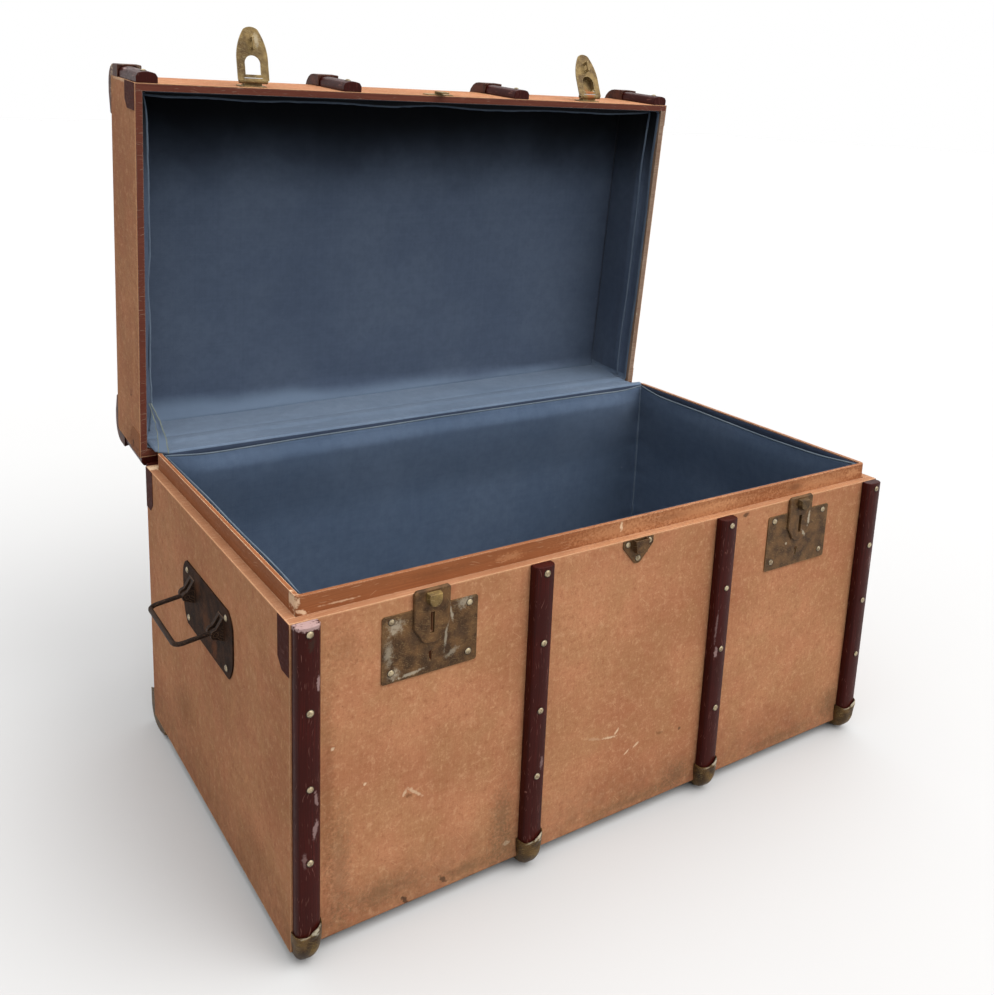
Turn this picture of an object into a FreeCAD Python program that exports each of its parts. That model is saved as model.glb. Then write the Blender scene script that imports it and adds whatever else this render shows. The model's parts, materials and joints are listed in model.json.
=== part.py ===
import FreeCAD, Part
import math
import os

# A flat-topped travel trunk, open, with wooden slats, two hasp locks and two end handles
# Lengths are millimetres; x runs along the front, y towards the back, z up from the underside of the box

# Box and lid
length = 900.0
depth = 515.2
box_height = 382.5
lid_height = 121.0
lid_open_deg = 85.4
box_edge_radius = 3.0
lid_edge_radius = 6.0
canvas = 1.0
box_wall = 12.0
lid_wall = 10.0
rim_gap = 0.5
hinge_behind_back = 16.25
hinge_below_ledge = 14.4

# Lip that the lid closes over
lip_rise = 21.4
lip_thickness = 5.0
lip_depth_inside = 12.5
lip_corner_radius = 7.0

# Linings
lining = 1.0
lining_below_lip_top = 0.8
lid_lining_above_rim = 26.0

# Slats and their metal shoes
slat_width = 28.0
slat_height = 14.5
slat_outer_from_end = 16.0
slat_inner_x = 146.0
batten_height = 9.5
shoe_metal = 2.0
shoe_drop = 14.0
shoe_foot_start = 11.0
shoe_foot_end = 24.0
shoe_tail = 52.0
shoe_top_side = 36.0
shoe_top_middle = 29.5
shoe_socket_floor = 8.0
shoe_socket_top = 90.0
shoe_toe_up = 14.0
shoe_tip_thickness = 7.0
shoe_tip_cut = 2.0
shoe_toe_flats = 5
shoe_arch_flats = 4
shoe_to_slat = 0.5
slat_section_shares = {"side": 0.55, "shoulder_across": 0.8, "shoulder_up": 0.86}
crown_flats = 4

# Nails
nail_radius = 4.4
nail_rise = 2.0
nail_shares = {"shoulder": 0.78, "shoulder_up": 0.6, "crown": 0.3}
nail_sides = 8
nail_first = 115.0
nail_from_top = 8.0
nail_count = 4
lid_nail_pitch = 86.5
lid_nail_from_rim = 18.0

# Corner patches on the ends
patch_thickness = 0.8
box_patch_width = 30.0
box_patch_height = 58.0
lid_patch_width = 35.0
lid_patch_height = 47.0
patch_chamfer = 11.0

# Locks; a drop is measured down from the box's top edge and a rise up from it
lock_from_outer_slat = 145.0
lock_plate_width = 118.0
lock_plate_height = 78.0
lock_plate_drop = 18.5
lock_plate_thickness = 1.5
plate_corner_cut = 2.0
lock_nail_across = 48.0
lock_nail_drops = (84.5, 25.5)
case_half_width = 22.5
case_rise = 3.5
case_shoulder_drop = 40.5
case_waist_drop = 53.5
case_foot_drop = 61.5
case_thickness = 3.0
case_waist_share = 0.62
case_corner_cut = 3.0
case_foot_flats = 10
case_bevel_share = 0.95
case_off_lid = 0.6
nose_half_width = 9.0
nose_rise = 0.5
nose_straight_drop = 7.0
nose_foot_drop = 16.5
nose_front = 12.0
nose_taper_share = 0.86
nose_flats = 6
slot_width = 5.0
slot_top_drop = 24.0
slot_foot_drop = 49.0
slot_pocket = 7.0
keyhole_radius = 2.6
keyhole_drop = 73.5
keyhole_foot_drop = 83.5
keyhole_width = 2.6

# Hasps
hasp_axis_out = 8.0
hasp_axis_above_ledge = 12.0
hasp_length = 72.0
hasp_tip_shares = {"shoulder_out": 0.86, "shoulder_down": 0.45, "cheek_out": 0.45, "cheek_down": 0.92}
hasp_half_width = 22.0
hasp_thickness = 2.0
hasp_gap_to_case = 0.7
hasp_knuckle_radius = 3.6
hasp_pin_radius = 1.6
pin_play = 0.05
hasp_opening_half_width = 11.0
hasp_opening_near = 8.0
hasp_opening_far = 34.0
hasp_opening_straight = 21.0
hasp_plate_knuckle_half = 12.5
hasp_side_play = 0.4
hasp_ear_end = 20.0
hasp_straight_to = 30.0
hasp_left_lean = 15.0
hasp_right_lean = 27.0
hasp_plate_half_width = 19.0
hasp_plate_height = 17.0
hasp_plate_thickness = 1.5
staple_near = 41.0
staple_far = 57.0
staple_depth = 9.0
staple_width = 3.0
staple_bar = 3.5
hood_half_width = 13.0
hood_half_height = 14.5
hood_rise = 8.0
hood_wall = 1.2
hood_top_share = 0.84
hood_corner_share = 0.45

# Middle catch
catch_half_width = 24.0
catch_top_drop = 0.5
catch_foot_drop = 32.5
catch_thickness = 1.5
catch_lug_drop = 9.0
catch_foot_half_width = 7.0
catch_nail_across = 17.0
catch_nail_top_drop = 5.5
catch_nail_foot_drop = 25.5
cup_half_width_top = 11.0
cup_half_width_bottom = 8.0
cup_rise = 0.5
cup_foot_drop = 16.5
cup_depth = 8.0
cup_wall = 1.4
tongue_half_width = 6.5
tongue_thickness = 2.0
tongue_reach = 11.0
pin_plate_half_width = 23.0
pin_plate_height = 17.0
pin_plate_bottom_gap = 2.0
pin_plate_thickness = 1.5

# End handles
handle_y = -2.0
handle_drop = 108.5
handle_plate_thickness = 2.0
handle_top_half = 76.0
handle_bottom_half = 77.0
handle_side_half = 92.0
handle_half_height = 43.0
handle_side_high = 17.0
handle_side_low = 12.0
handle_corner_in = 5.0
eye_y = 54.0
eye_above_centre = 8.6
eye_half_length = 9.0
eye_base_below = 10.0
eye_base_above = 20.0
eye_pivot_out = 9.0
eye_wall = 3.4
eye_slot = 7.4
eye_floor = 1.0
bail_rod_radius = 2.9
bail_reach = 45.0
bail_corner_radius = 9.0
bail_pin_half_length = 8.5
bail_lower_limit_deg = 88.0
bail_left_rest_deg = 7.8
eye_flats = 6
bail_corner_flats = 3
handle_nail_top_y = 72.0
handle_nail_low_y = 70.0
handle_nail_z = 32.0

# Back hinges
hinge_from_outer_slat = 144.0
hinge_knuckle_radius = 5.5
hinge_pin_radius = 2.4
hinge_leaf_half_width = 30.0
hinge_leaf_thickness = 2.2
hinge_leaf_height = 62.0
hinge_leaf_corner_cut = 5.0
hinge_arm_thickness = 4.0
hinge_leaf_from_rim = 16.0
hinge_knuckle_third = 18.0
hinge_side_play = 0.5
hinge_inner_half = 9.0

# Small round pieces are drawn with flats; points closer than same_place are one
small_round_sides = 12
same_place = 0.001

half_l = length / 2
half_d = depth / 2
lid_bottom = box_height + rim_gap
lid_top = box_height + lid_height
lip_top = box_height + lip_rise
lip_bottom = box_height - lip_depth_inside
hinge_y = half_d + hinge_behind_back
hinge_z = box_height - hinge_below_ledge
slat_outer_x = half_l - slat_outer_from_end
slat_xs = [-slat_outer_x, -slat_inner_x, slat_inner_x, slat_outer_x]
hinge_x = slat_outer_x - hinge_from_outer_slat
hinge_xs = [-hinge_x, hinge_x]
lock_x = slat_outer_x - lock_from_outer_slat
nail_pitch = (box_height - nail_from_top - nail_first) / (nail_count - 1)
plate_top = box_height - lock_plate_drop
plate_low = plate_top - lock_plate_height
case_top = box_height + case_rise
case_foot = box_height - case_foot_drop
slot_top = box_height - slot_top_drop
slot_foot = box_height - slot_foot_drop
keyhole_z = box_height - keyhole_drop
keyhole_foot = box_height - keyhole_foot_drop
nose_top = box_height + nose_rise
nose_foot = box_height - nose_foot_drop
catch_top = box_height - catch_top_drop
catch_foot = box_height - catch_foot_drop
cup_top = box_height + cup_rise
cup_foot = box_height - cup_foot_drop
handle_z = box_height - handle_drop

# Cuts and zones run this far past whatever they meet
beyond = length

X = FreeCAD.Vector(1, 0, 0)
Y = FreeCAD.Vector(0, 1, 0)
Z = FreeCAD.Vector(0, 0, 1)
solids = {}


def point(plane, c, u, v):
    """A point of a drawing plane: u and v in the plane, c across it."""
    if plane == "yz":
        return FreeCAD.Vector(c, u, v)
    if plane == "xz":
        return FreeCAD.Vector(u, c, v)
    return FreeCAD.Vector(u, v, c)


def outline(plane, c, start, steps):
    """A closed wire of lines (one point) and arcs (a middle and an end point)."""
    edges = []
    here = point(plane, c, *start)
    for step in steps:
        if len(step) == 1:
            there = point(plane, c, *step[0])
            edges.append(Part.makeLine(here, there))
        else:
            there = point(plane, c, *step[1])
            middle = point(plane, c, *step[0])
            edges.append(Part.Arc(here, middle, there).toShape())
        here = there
    first = point(plane, c, *start)
    if here.distanceToPoint(first) > same_place:
        edges.append(Part.makeLine(here, first))
    return Part.Wire(edges)


def prism(plane, c0, c1, start, steps):
    """An outline pushed from c0 to c1 across its plane."""
    wire = outline(plane, c0, start, steps)
    move = point(plane, c1, 0, 0) - point(plane, c0, 0, 0)
    return Part.Face(wire).extrude(move)


def flat_faced(rings):
    """A solid of flat faces through rings of points, its two ends closed."""
    faces = []
    for ring, after in zip(rings, rings[1:]):
        for i in range(len(ring)):
            k = (i + 1) % len(ring)
            faces.append(Part.Face(Part.makePolygon([ring[i], ring[k], after[k], after[i], ring[i]])))
    for ring in (rings[0], rings[-1]):
        faces.append(Part.Face(Part.makePolygon(ring + ring[:1])))
    shell = Part.Shell(faces)
    shell.sewShape()
    form = Part.Solid(shell)
    if form.Volume < 0:
        form.reverse()
    return form


def ring_of(at, side, other, radius, sides):
    """Points round a middle, in the plane of two ways at right angles."""
    ring = []
    for i in range(sides):
        turn = 2 * math.pi * (i + 0.5) / sides
        ring.append(at + side * (radius * math.cos(turn)) + other * (radius * math.sin(turn)))
    return ring


def turned(at, axis, stations, sides):
    """A many-sided form round an axis; a station is a distance along the axis and a radius."""
    side = axis.cross(X) if abs(axis.x) < math.sqrt(0.5) else axis.cross(Y)
    side.normalize()
    other = axis.cross(side)
    return flat_faced([ring_of(at + axis * along, side, other, radius, sides) for along, radius in stations])


def many_sided_bore(at, axis, radius):
    """A cutting bar whose flats all stay clear of a pin of the given radius."""
    corner = radius / math.cos(math.pi / small_round_sides)
    return turned(at, axis, [(-beyond, corner), (beyond, corner)], small_round_sides)


def rod(path, radius):
    """A many-sided rod through points of a level path, mitred where it turns."""
    ways = [(b - a).normalize() for a, b in zip(path, path[1:])]
    ring = ring_of(path[0], Z, ways[0].cross(Z), radius, small_round_sides)
    rings = [ring]
    for at, way, after in zip(path[1:], ways, ways[1:] + ways[-1:]):
        mitre = way + after
        ring = [p + way * ((at - p).dot(mitre) / way.dot(mitre)) for p in ring]
        rings.append(ring)
    return flat_faced(rings)


def block(x0, x1, y0, y1, z0, z1):
    """A box between two corners."""
    corner = FreeCAD.Vector(min(x0, x1), min(y0, y1), min(z0, z1))
    return Part.makeBox(abs(x1 - x0), abs(y1 - y0), abs(z1 - z0), corner)


def round_bar(centre, axis, radius, low, high):
    """A cylinder along an axis from low to high of that axis."""
    return Part.makeCylinder(radius, high - low, centre + axis * low, axis)


def fused(shapes):
    """All the shapes as one."""
    first = shapes[0]
    if len(shapes) == 1:
        return first
    return first.multiFuse(shapes[1:]).removeSplitter()


def together(shapes):
    """Separate solids kept in one node."""
    return Part.makeCompound(shapes)


def mirror_x(shape):
    """The shape on the other side of the middle plane."""
    return shape.mirror(FreeCAD.Vector(0, 0, 0), X)


def rounded(w0, w1, h0, h1, r):
    """Start and steps of a rectangle with rounded corners."""
    k = r * (1 - math.sqrt(0.5))
    start = (w0 + r, h0)
    steps = [
        [(w1 - r, h0)],
        [(w1 - k, h0 + k), (w1, h0 + r)],
        [(w1, h1 - r)],
        [(w1 - k, h1 - k), (w1 - r, h1)],
        [(w0 + r, h1)],
        [(w0 + k, h1 - k), (w0, h1 - r)],
        [(w0, h0 + r)],
        [(w0 + k, h0 + k), (w0 + r, h0)],
    ]
    return start, steps


def cut_corners(w0, w1, h0, h1, c):
    """Start and steps of a rectangle with its corners cut off."""
    steps = [
        [(w1 - c, h0)],
        [(w1, h0 + c)],
        [(w1, h1 - c)],
        [(w1 - c, h1)],
        [(w0 + c, h1)],
        [(w0, h1 - c)],
        [(w0, h0 + c)],
    ]
    return (w0 + c, h0), steps


def tray(w, low, high, r, half_x):
    """A solid across the width, its two long edges at the low side rounded when the radius allows."""
    way = 1 if high > low else -1
    if r <= 0:
        steps = [[(-w, low)], [(w, low)], [(w, high)]]
        return prism("yz", -half_x, half_x, (-w, high), steps)
    k = r * (1 - math.sqrt(0.5))
    steps = [
        [(-w, low + way * r)],
        [(-w + k, low + way * k), (-w + r, low)],
        [(w - r, low)],
        [(w - k, low + way * k), (w, low + way * r)],
        [(w, high)],
    ]
    return prism("yz", -half_x, half_x, (-w, high), steps)


def box_solid(inset, half_x, top):
    """The box's solid form drawn in by an inset, its two lower long edges slightly rounded."""
    return tray(half_d - inset, inset, top, box_edge_radius - inset, half_x)


def lid_solid(inset, half_x, bottom):
    """The lid's solid form drawn in by an inset, its two upper long edges slightly rounded."""
    return tray(half_d - inset, lid_top - inset, bottom, lid_edge_radius - inset, half_x)


# Box boards, canvas and lining
lock_pockets = []
for cx in (-lock_x, lock_x):
    w = slot_width / 2
    kr = keyhole_radius
    pocket_end = -half_d + slot_pocket
    lock_pockets.append(block(cx - w, cx + w, -beyond, pocket_end, slot_foot, slot_top))
    lock_pockets.append(block(cx - kr, cx + kr, -beyond, pocket_end, keyhole_foot, keyhole_z + kr))
pockets = together(lock_pockets)

outer = box_solid(0, half_l, box_height)
under_canvas = box_solid(canvas, half_l - canvas, box_height)
inside = box_solid(box_wall, beyond, box_height + beyond)
solids["body_canvas"] = outer.cut(box_solid(canvas, half_l - canvas, box_height + beyond)).cut(pockets)
solids["body_wrap_board"] = under_canvas.cut(inside).cut(pockets)
end_slab = box_solid(box_wall, half_l - canvas, box_height)
left_half = block(-half_l, -half_l + box_wall, -half_d, half_d, 0, box_height)
solids["body_left_end_board"] = end_slab.common(left_half)
solids["body_right_end_board"] = mirror_x(solids["body_left_end_board"])

lip_in = box_wall + lip_thickness


def lip_ring(inset, bottom, top, radius):
    """A rectangular ring solid's outer form at an inset, with rounded upright corners."""
    hx = half_l - inset
    hy = half_d - inset
    start, steps = rounded(-hx, hx, -hy, hy, radius)
    return prism("xy", bottom, top, start, steps)


lip_all = lip_ring(box_wall, lip_bottom, lip_top, lip_corner_radius)
lip_all = lip_all.cut(lip_ring(lip_in, -beyond, beyond, lip_corner_radius - lip_thickness))
front_zone = block(-beyond, beyond, -beyond, -half_d + lip_in, -beyond, beyond)
back_zone = block(-beyond, beyond, half_d - lip_in, beyond, -beyond, beyond)
middle_zone = block(-beyond, 0, -half_d + lip_in, half_d - lip_in, -beyond, beyond)
solids["lip_front"] = lip_all.common(front_zone)
solids["lip_back"] = lip_all.common(back_zone)
solids["lip_left"] = lip_all.common(middle_zone)
solids["lip_right"] = mirror_x(solids["lip_left"])

lining_in = box_wall + lining
band_in = lip_in + lining
lower = box_solid(box_wall, half_l - box_wall, lip_bottom)
lower = lower.cut(box_solid(lining_in, half_l - lining_in, beyond))
shelf = box_solid(box_wall, half_l - box_wall, lip_bottom)
shelf = shelf.common(block(-beyond, beyond, -beyond, beyond, lip_bottom - lining, lip_bottom))
band_radius = lip_corner_radius - lip_thickness
shelf = shelf.cut(lip_ring(band_in, -beyond, beyond, band_radius / 2))
band = lip_ring(lip_in, lip_bottom, lip_top - lining_below_lip_top, band_radius)
band = band.cut(lip_ring(band_in, -beyond, beyond, band_radius / 2))
solids["body_lining"] = fused([lower, shelf, band])


def slat_outline(cx, width, height, sign, base):
    """Start and steps of a slat section standing on a base line, crowned between cut shoulders."""
    s = slat_section_shares
    h = width / 2
    a = s["shoulder_across"] * h
    side = base + sign * s["side"] * height
    steps = [[(cx - h, side)]]
    for i in range(crown_flats + 1):
        across = 2 * i / crown_flats - 1
        up = 1 - (1 - s["shoulder_up"]) * across ** 2
        steps.append([(cx + a * across, base + sign * height * up)])
    steps += [[(cx + h, side)], [(cx + h, base)]]
    return (cx - h, base), steps


def upright_slat(cx, side, low, high):
    """A slat standing on the front (side -1) or back (side 1) face."""
    start, steps = slat_outline(cx, slat_width, slat_height, side, side * half_d)
    return prism("xy", low, high, start, steps)


def shoe(cx, side, lid):
    """A bent metal shoe round a long edge, open at its end for the slat."""
    def at(a, b):
        z = lid_top - b if lid else b
        return (side * (half_d + a), z)

    out = slat_height + shoe_metal
    toe_across = out + shoe_foot_start
    toe_up = shoe_drop + shoe_toe_up
    tip = shoe_tip_cut
    steps = [
        [at(0, 0)],
        [at(-shoe_tail, 0)],
        [at(-shoe_tail, -shoe_tip_thickness + tip)],
        [at(-shoe_tail + tip, -shoe_tip_thickness)],
        [at(-shoe_foot_end, -shoe_drop)],
    ]
    for i in range(shoe_toe_flats + 1):
        turn = math.pi / 2 * i / shoe_toe_flats
        toe = toe_across * math.sin(turn) - shoe_foot_start
        steps.append([at(toe, shoe_toe_up - toe_up * math.cos(turn))])
    steps.append([at(out, shoe_top_side)])
    w = slat_width / 2 + shoe_metal
    form = prism("yz", cx - w, cx + w, at(0, shoe_top_side), steps)
    arch = []
    for i in range(shoe_arch_flats + 1):
        across = 2 * i / shoe_arch_flats - 1
        rise = shoe_top_middle + (shoe_top_side - shoe_top_middle) * across ** 2
        arch.append([(cx + w * across, at(0, rise)[1])])
    far = at(0, shoe_top_side + shoe_metal)[1]
    form = form.cut(prism("xz", -beyond, beyond, (cx - w, far), arch + [[(cx + w, far)]]))
    z0 = at(0, shoe_socket_floor)[1]
    z1 = at(0, shoe_socket_top)[1]
    socket = upright_slat(cx, side, min(z0, z1), max(z0, z1))
    return form.cut(socket)


def slat_on_box(cx, side):
    """A slat on the box from its shoe to the ledge, following the rounded lower edge."""
    form = upright_slat(cx, side, shoe_socket_floor, box_height)
    return form.cut(box_solid(0, half_l, box_height))


def slat_on_lid(cx, side):
    """A slat on the closed lid from its rim to its shoe."""
    form = upright_slat(cx, side, lid_bottom, lid_top - shoe_socket_floor)
    return form.cut(lid_solid(0, half_l, lid_bottom))


for number, cx in enumerate(slat_xs, 1):
    solids["body_front_slat_%d" % number] = slat_on_box(cx, -1)
    solids["body_front_shoe_%d" % number] = shoe(cx, -1, False)
solids["body_back_slats"] = together([slat_on_box(cx, 1) for cx in slat_xs])
solids["body_back_shoes"] = together([shoe(cx, 1, False) for cx in slat_xs])

run = half_d - shoe_tail - shoe_to_slat
battens = []
for cx in slat_xs:
    start, steps = slat_outline(cx, slat_width, batten_height, -1, 0)
    battens.append(prism("xz", -run, run, start, steps))
solids["body_bottom_battens"] = together(battens)

# Nails and small round heads


def nail(at, axis):
    """A low domed nail head of flat faces."""
    return turned(at, axis, [
        (0, nail_radius),
        (nail_rise * nail_shares["shoulder_up"], nail_radius * nail_shares["shoulder"]),
        (nail_rise, nail_radius * nail_shares["crown"]),
    ], nail_sides)


box_nails = []
for cx in slat_xs:
    for side in (-1, 1):
        out = FreeCAD.Vector(0, side, 0)
        y = side * (half_d + slat_height)
        for i in range(nail_count):
            box_nails.append(nail(FreeCAD.Vector(cx, y, nail_first + i * nail_pitch), out))
solids["body_nails"] = together(box_nails)

# Corner patches on the two ends


def patch(side_y, lid):
    """A thin plate at an end face's corner, its inner far corner cut off."""
    w = lid_patch_width if lid else box_patch_width
    h = lid_patch_height if lid else box_patch_height
    z0 = lid_bottom if lid else box_height
    way = 1 if lid else -1
    y0 = side_y * half_d
    yi = side_y * (half_d - w)
    yc = side_y * (half_d - w + patch_chamfer)
    return prism("yz", -half_l, -half_l - patch_thickness, (y0, z0), [
        [(y0, z0 + way * h)],
        [(yc, z0 + way * h)],
        [(yi, z0 + way * (h - patch_chamfer))],
        [(yi, z0)],
    ])


box_patches = [patch(-1, False), patch(1, False)]
solids["body_corner_patches"] = together(box_patches + [mirror_x(p) for p in box_patches])

# Locks on the front


def case_ring(cx, out, share):
    """The raised lock case seen from the front: a tab with a narrower round foot, scaled about its middle."""
    mid = (case_top + case_foot) / 2
    shoulder = box_height - case_shoulder_drop
    waist = box_height - case_waist_drop
    w = case_half_width
    v = case_waist_share * w
    c = case_corner_cut
    places = [(-w + c, case_top), (-w, case_top - c), (-w, shoulder)]
    for i in range(case_foot_flats + 1):
        turn = math.pi * i / case_foot_flats
        places.append((-v * math.cos(turn), waist - (waist - case_foot) * math.sin(turn)))
    places += [(w, shoulder), (w, case_top - c), (w - c, case_top)]
    return [FreeCAD.Vector(cx + u * share, out, mid + (z - mid) * share) for u, z in places]


def nose_ring(cx, out, share):
    """The lock nose seen from the front, flat above and rounded below by short flats."""
    mid = (nose_top + nose_foot) / 2
    w = nose_half_width
    straight = box_height - nose_straight_drop
    places = [(-w, nose_top)]
    for i in range(nose_flats + 1):
        turn = math.pi * i / nose_flats
        places.append((-w * math.cos(turn), straight - (straight - nose_foot) * math.sin(turn)))
    places.append((w, nose_top))
    return [FreeCAD.Vector(cx + u * share, out, mid + (z - mid) * share) for u, z in places]


plate_face = half_d + lock_plate_thickness
case_face = plate_face + case_thickness
lock_nails = []
for name, cx in (("left", -lock_x), ("right", lock_x)):
    hw = lock_plate_width / 2
    start, steps = cut_corners(cx - hw, cx + hw, plate_low, plate_top, plate_corner_cut)
    plate = prism("xz", -half_d, -plate_face, start, steps)
    sw = slot_width / 2
    slot = block(cx - sw, cx + sw, -beyond, 0, slot_foot, slot_top)
    hole = many_sided_bore(FreeCAD.Vector(cx, 0, keyhole_z), Y, keyhole_radius)
    kw = keyhole_width / 2
    leg = block(cx - kw, cx + kw, -beyond, 0, keyhole_foot, keyhole_z)
    solids[name + "_lock_plate"] = plate.cut(slot).cut(hole).cut(leg)
    bevel = (case_face - plate_face) / 2
    case = flat_faced([
        case_ring(cx, -plate_face, 1),
        case_ring(cx, -case_face + bevel, 1),
        case_ring(cx, -case_face, case_bevel_share),
    ])
    above = block(cx - beyond, cx + beyond, -plate_face, 0, plate_top, beyond)
    back_part = flat_faced([case_ring(cx, -half_d - case_off_lid, 1), case_ring(cx, -plate_face, 1)])
    solids[name + "_lock_case"] = fused([case, back_part.common(above)]).cut(slot)
    solids[name + "_lock_nose"] = flat_faced([
        nose_ring(cx, -case_face, 1),
        nose_ring(cx, -half_d - nose_front, nose_taper_share),
    ])
    for u in (-lock_nail_across, lock_nail_across):
        for drop in lock_nail_drops:
            lock_nails.append(nail(FreeCAD.Vector(cx + u, -plate_face, box_height - drop), -Y))

# Middle catch with a cup open at its top
c = catch_half_width
f = catch_foot_half_width
lug_side = catch_top - catch_lug_drop
lug = prism("xz", -half_d, -half_d - catch_thickness, (-c, catch_top), [
    [(-c, lug_side)],
    [(-f, catch_foot + f / 2)],
    [(0, catch_foot), (f, catch_foot + f / 2)],
    [(c, lug_side)],
    [(c, catch_top)],
])
catch_face = half_d + catch_thickness
a = cup_half_width_top
b = cup_half_width_bottom
cup = prism("xz", -catch_face, -catch_face - cup_depth, (-a, cup_top), [
    [(-b, cup_foot)],
    [(b, cup_foot)],
    [(a, cup_top)],
])
t = cup_wall
hollow = prism("xz", -catch_face, -catch_face - cup_depth + t, (-a + t, cup_top), [
    [(-b + t, cup_foot + t)],
    [(b - t, cup_foot + t)],
    [(a - t, cup_top)],
    [(a - t, beyond)],
    [(-a + t, beyond)],
])
solids["catch_cup"] = fused([lug, cup.cut(hollow)])
across = catch_nail_across
drop = catch_nail_top_drop
for u, drop in ((-across, drop), (across, drop), (0, catch_nail_foot_drop)):
    lock_nails.append(nail(FreeCAD.Vector(u, -catch_face, box_height - drop), -Y))
solids["lock_nails"] = together(lock_nails)

# End handles, each a plate with two eyes and a bail that swings in them


def handle_plate():
    """The left handle's plate, wider in its middle than at top and bottom."""
    def at(u, v):
        return (handle_y + u, handle_z + v)

    t0, b0, s0 = handle_top_half, handle_bottom_half, handle_side_half
    h, hi, lo, q = handle_half_height, handle_side_high, handle_side_low, handle_corner_in
    start = at(-t0, h)
    steps = [
        [at(t0, h)],
        [at((t0 + s0) / 2 + q / 2, (h + hi) / 2 + q), at(s0, hi)],
        [at(s0, -lo)],
        [at((b0 + s0) / 2 + q / 2, -(h + lo) / 2 - q / 2), at(b0, -h)],
        [at(-b0, -h)],
        [at(-(b0 + s0) / 2 - q / 2, -(h + lo) / 2 - q / 2), at(-s0, -lo)],
        [at(-s0, hi)],
        [at(-(t0 + s0) / 2 - q / 2, (h + hi) / 2 + q), at(-t0, h)],
    ]
    return prism("yz", -half_l, -half_l - handle_plate_thickness, start, steps)


handle_face = half_l + handle_plate_thickness
pivot_x = handle_face + eye_pivot_out
pivot_z = handle_z + eye_above_centre
hole_radius = bail_rod_radius + pin_play


def handle_eyes():
    """Two slotted eyes standing on the left handle's plate."""
    eyes = []
    for s in (-1, 1):
        cy = handle_y + s * eye_y
        r = hole_radius + eye_wall
        steps = []
        for i in range(eye_flats + 1):
            turn = math.pi * i / eye_flats
            steps.append([(-pivot_x - r * math.sin(turn), pivot_z - r * math.cos(turn))])
        steps.append([(-handle_face, pivot_z + eye_base_above)])
        foot = (-handle_face, pivot_z - eye_base_below)
        eye = prism("xz", cy - eye_half_length, cy + eye_half_length, foot, steps)
        slot = block(-beyond, -handle_face - eye_floor, cy - eye_slot / 2, cy + eye_slot / 2, -beyond, beyond)
        hole = many_sided_bore(FreeCAD.Vector(-pivot_x, cy, pivot_z), Y, hole_radius)
        eyes.append(eye.cut(slot).cut(hole))
    return eyes


def bail():
    """The left handle's bail held straight out, with a cross pin at each end."""
    r = bail_corner_radius
    x1 = -pivot_x - bail_reach
    y0 = handle_y - eye_y

    def at(x, y):
        return FreeCAD.Vector(x, y, pivot_z)

    near = [at(-pivot_x, y0)]
    for i in range(bail_corner_flats + 1):
        turn = math.pi / 2 * i / bail_corner_flats
        near.append(at(x1 + r - r * math.sin(turn), y0 + r - r * math.cos(turn)))
    far = [at(p.x, 2 * handle_y - p.y) for p in reversed(near)]
    parts = [rod(near + far, bail_rod_radius)]
    for end in (near[0], far[-1]):
        parts.append(round_bar(end, Y, bail_rod_radius, -bail_pin_half_length, bail_pin_half_length))
    return fused(parts)


solids["left_handle_plate"] = handle_plate()
solids["right_handle_plate"] = mirror_x(handle_plate())
solids["left_handle_eyes"] = together(handle_eyes())
solids["right_handle_eyes"] = together([mirror_x(e) for e in handle_eyes()])
held = bail()
held.rotate(FreeCAD.Vector(-pivot_x, 0, pivot_z), Y, -bail_left_rest_deg)
solids["left_bail"] = held
hanging = mirror_x(bail())
hanging.rotate(FreeCAD.Vector(pivot_x, 0, pivot_z), Y, bail_lower_limit_deg)
solids["right_bail"] = hanging
handle_nails = []
for u, v in ((handle_nail_top_y, handle_nail_z), (handle_nail_low_y, -handle_nail_z)):
    for side in (-1, 1):
        handle_nails.append(nail(FreeCAD.Vector(-handle_face, handle_y + side * u, handle_z + v), -X))
solids["handle_nails"] = together(handle_nails + [mirror_x(n) for n in handle_nails])

# Hinges behind the back: leaves with cranked arms that hold the pin clear of the slats
hinge_centre = FreeCAD.Vector(0, hinge_y, hinge_z)


def hinge_leaf(cx, lid):
    """A leaf, its arm and its knuckles; the box's leaf has two knuckles and the lid's one between them."""
    w = hinge_leaf_half_width
    t = hinge_leaf_thickness
    way = 1 if lid else -1
    edge = lid_bottom if lid else box_height - hinge_below_ledge
    z0 = edge + way * hinge_leaf_from_rim if lid else edge - hinge_leaf_from_rim / 2
    z1 = z0 + way * hinge_leaf_height
    start, steps = cut_corners(cx - w, cx + w, min(z0, z1), max(z0, z1), hinge_leaf_corner_cut)
    parts = [prism("xz", half_d, half_d + t, start, steps)]
    inner = hinge_inner_half + hinge_side_play
    outer_end = inner + hinge_knuckle_third
    spans = [(cx - outer_end, cx - inner), (cx + inner, cx + outer_end)]
    if lid:
        spans = [(cx - hinge_inner_half, cx + hinge_inner_half)]
    a = hinge_arm_thickness
    foot = z0 + way * hinge_leaf_from_rim / 2
    for x0, x1 in spans:
        ends = [(x0, hinge_knuckle_radius), (x1, hinge_knuckle_radius)]
        parts.append(turned(hinge_centre, X, ends, small_round_sides))
        parts.append(prism("yz", x0, x1, (half_d, foot), [
            [(half_d + t, foot)],
            [(half_d + t, z0)],
            [(hinge_y - way * a / 2, hinge_z + way * a)],
            [(hinge_y, hinge_z)],
            [(hinge_y - a, hinge_z)],
            [(half_d, z0)],
        ]))
    bore = hinge_pin_radius + pin_play
    if lid:
        return fused(parts).cut(round_bar(hinge_centre, X, bore, -beyond, beyond))
    return fused(parts).cut(many_sided_bore(hinge_centre, X, bore))


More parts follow.
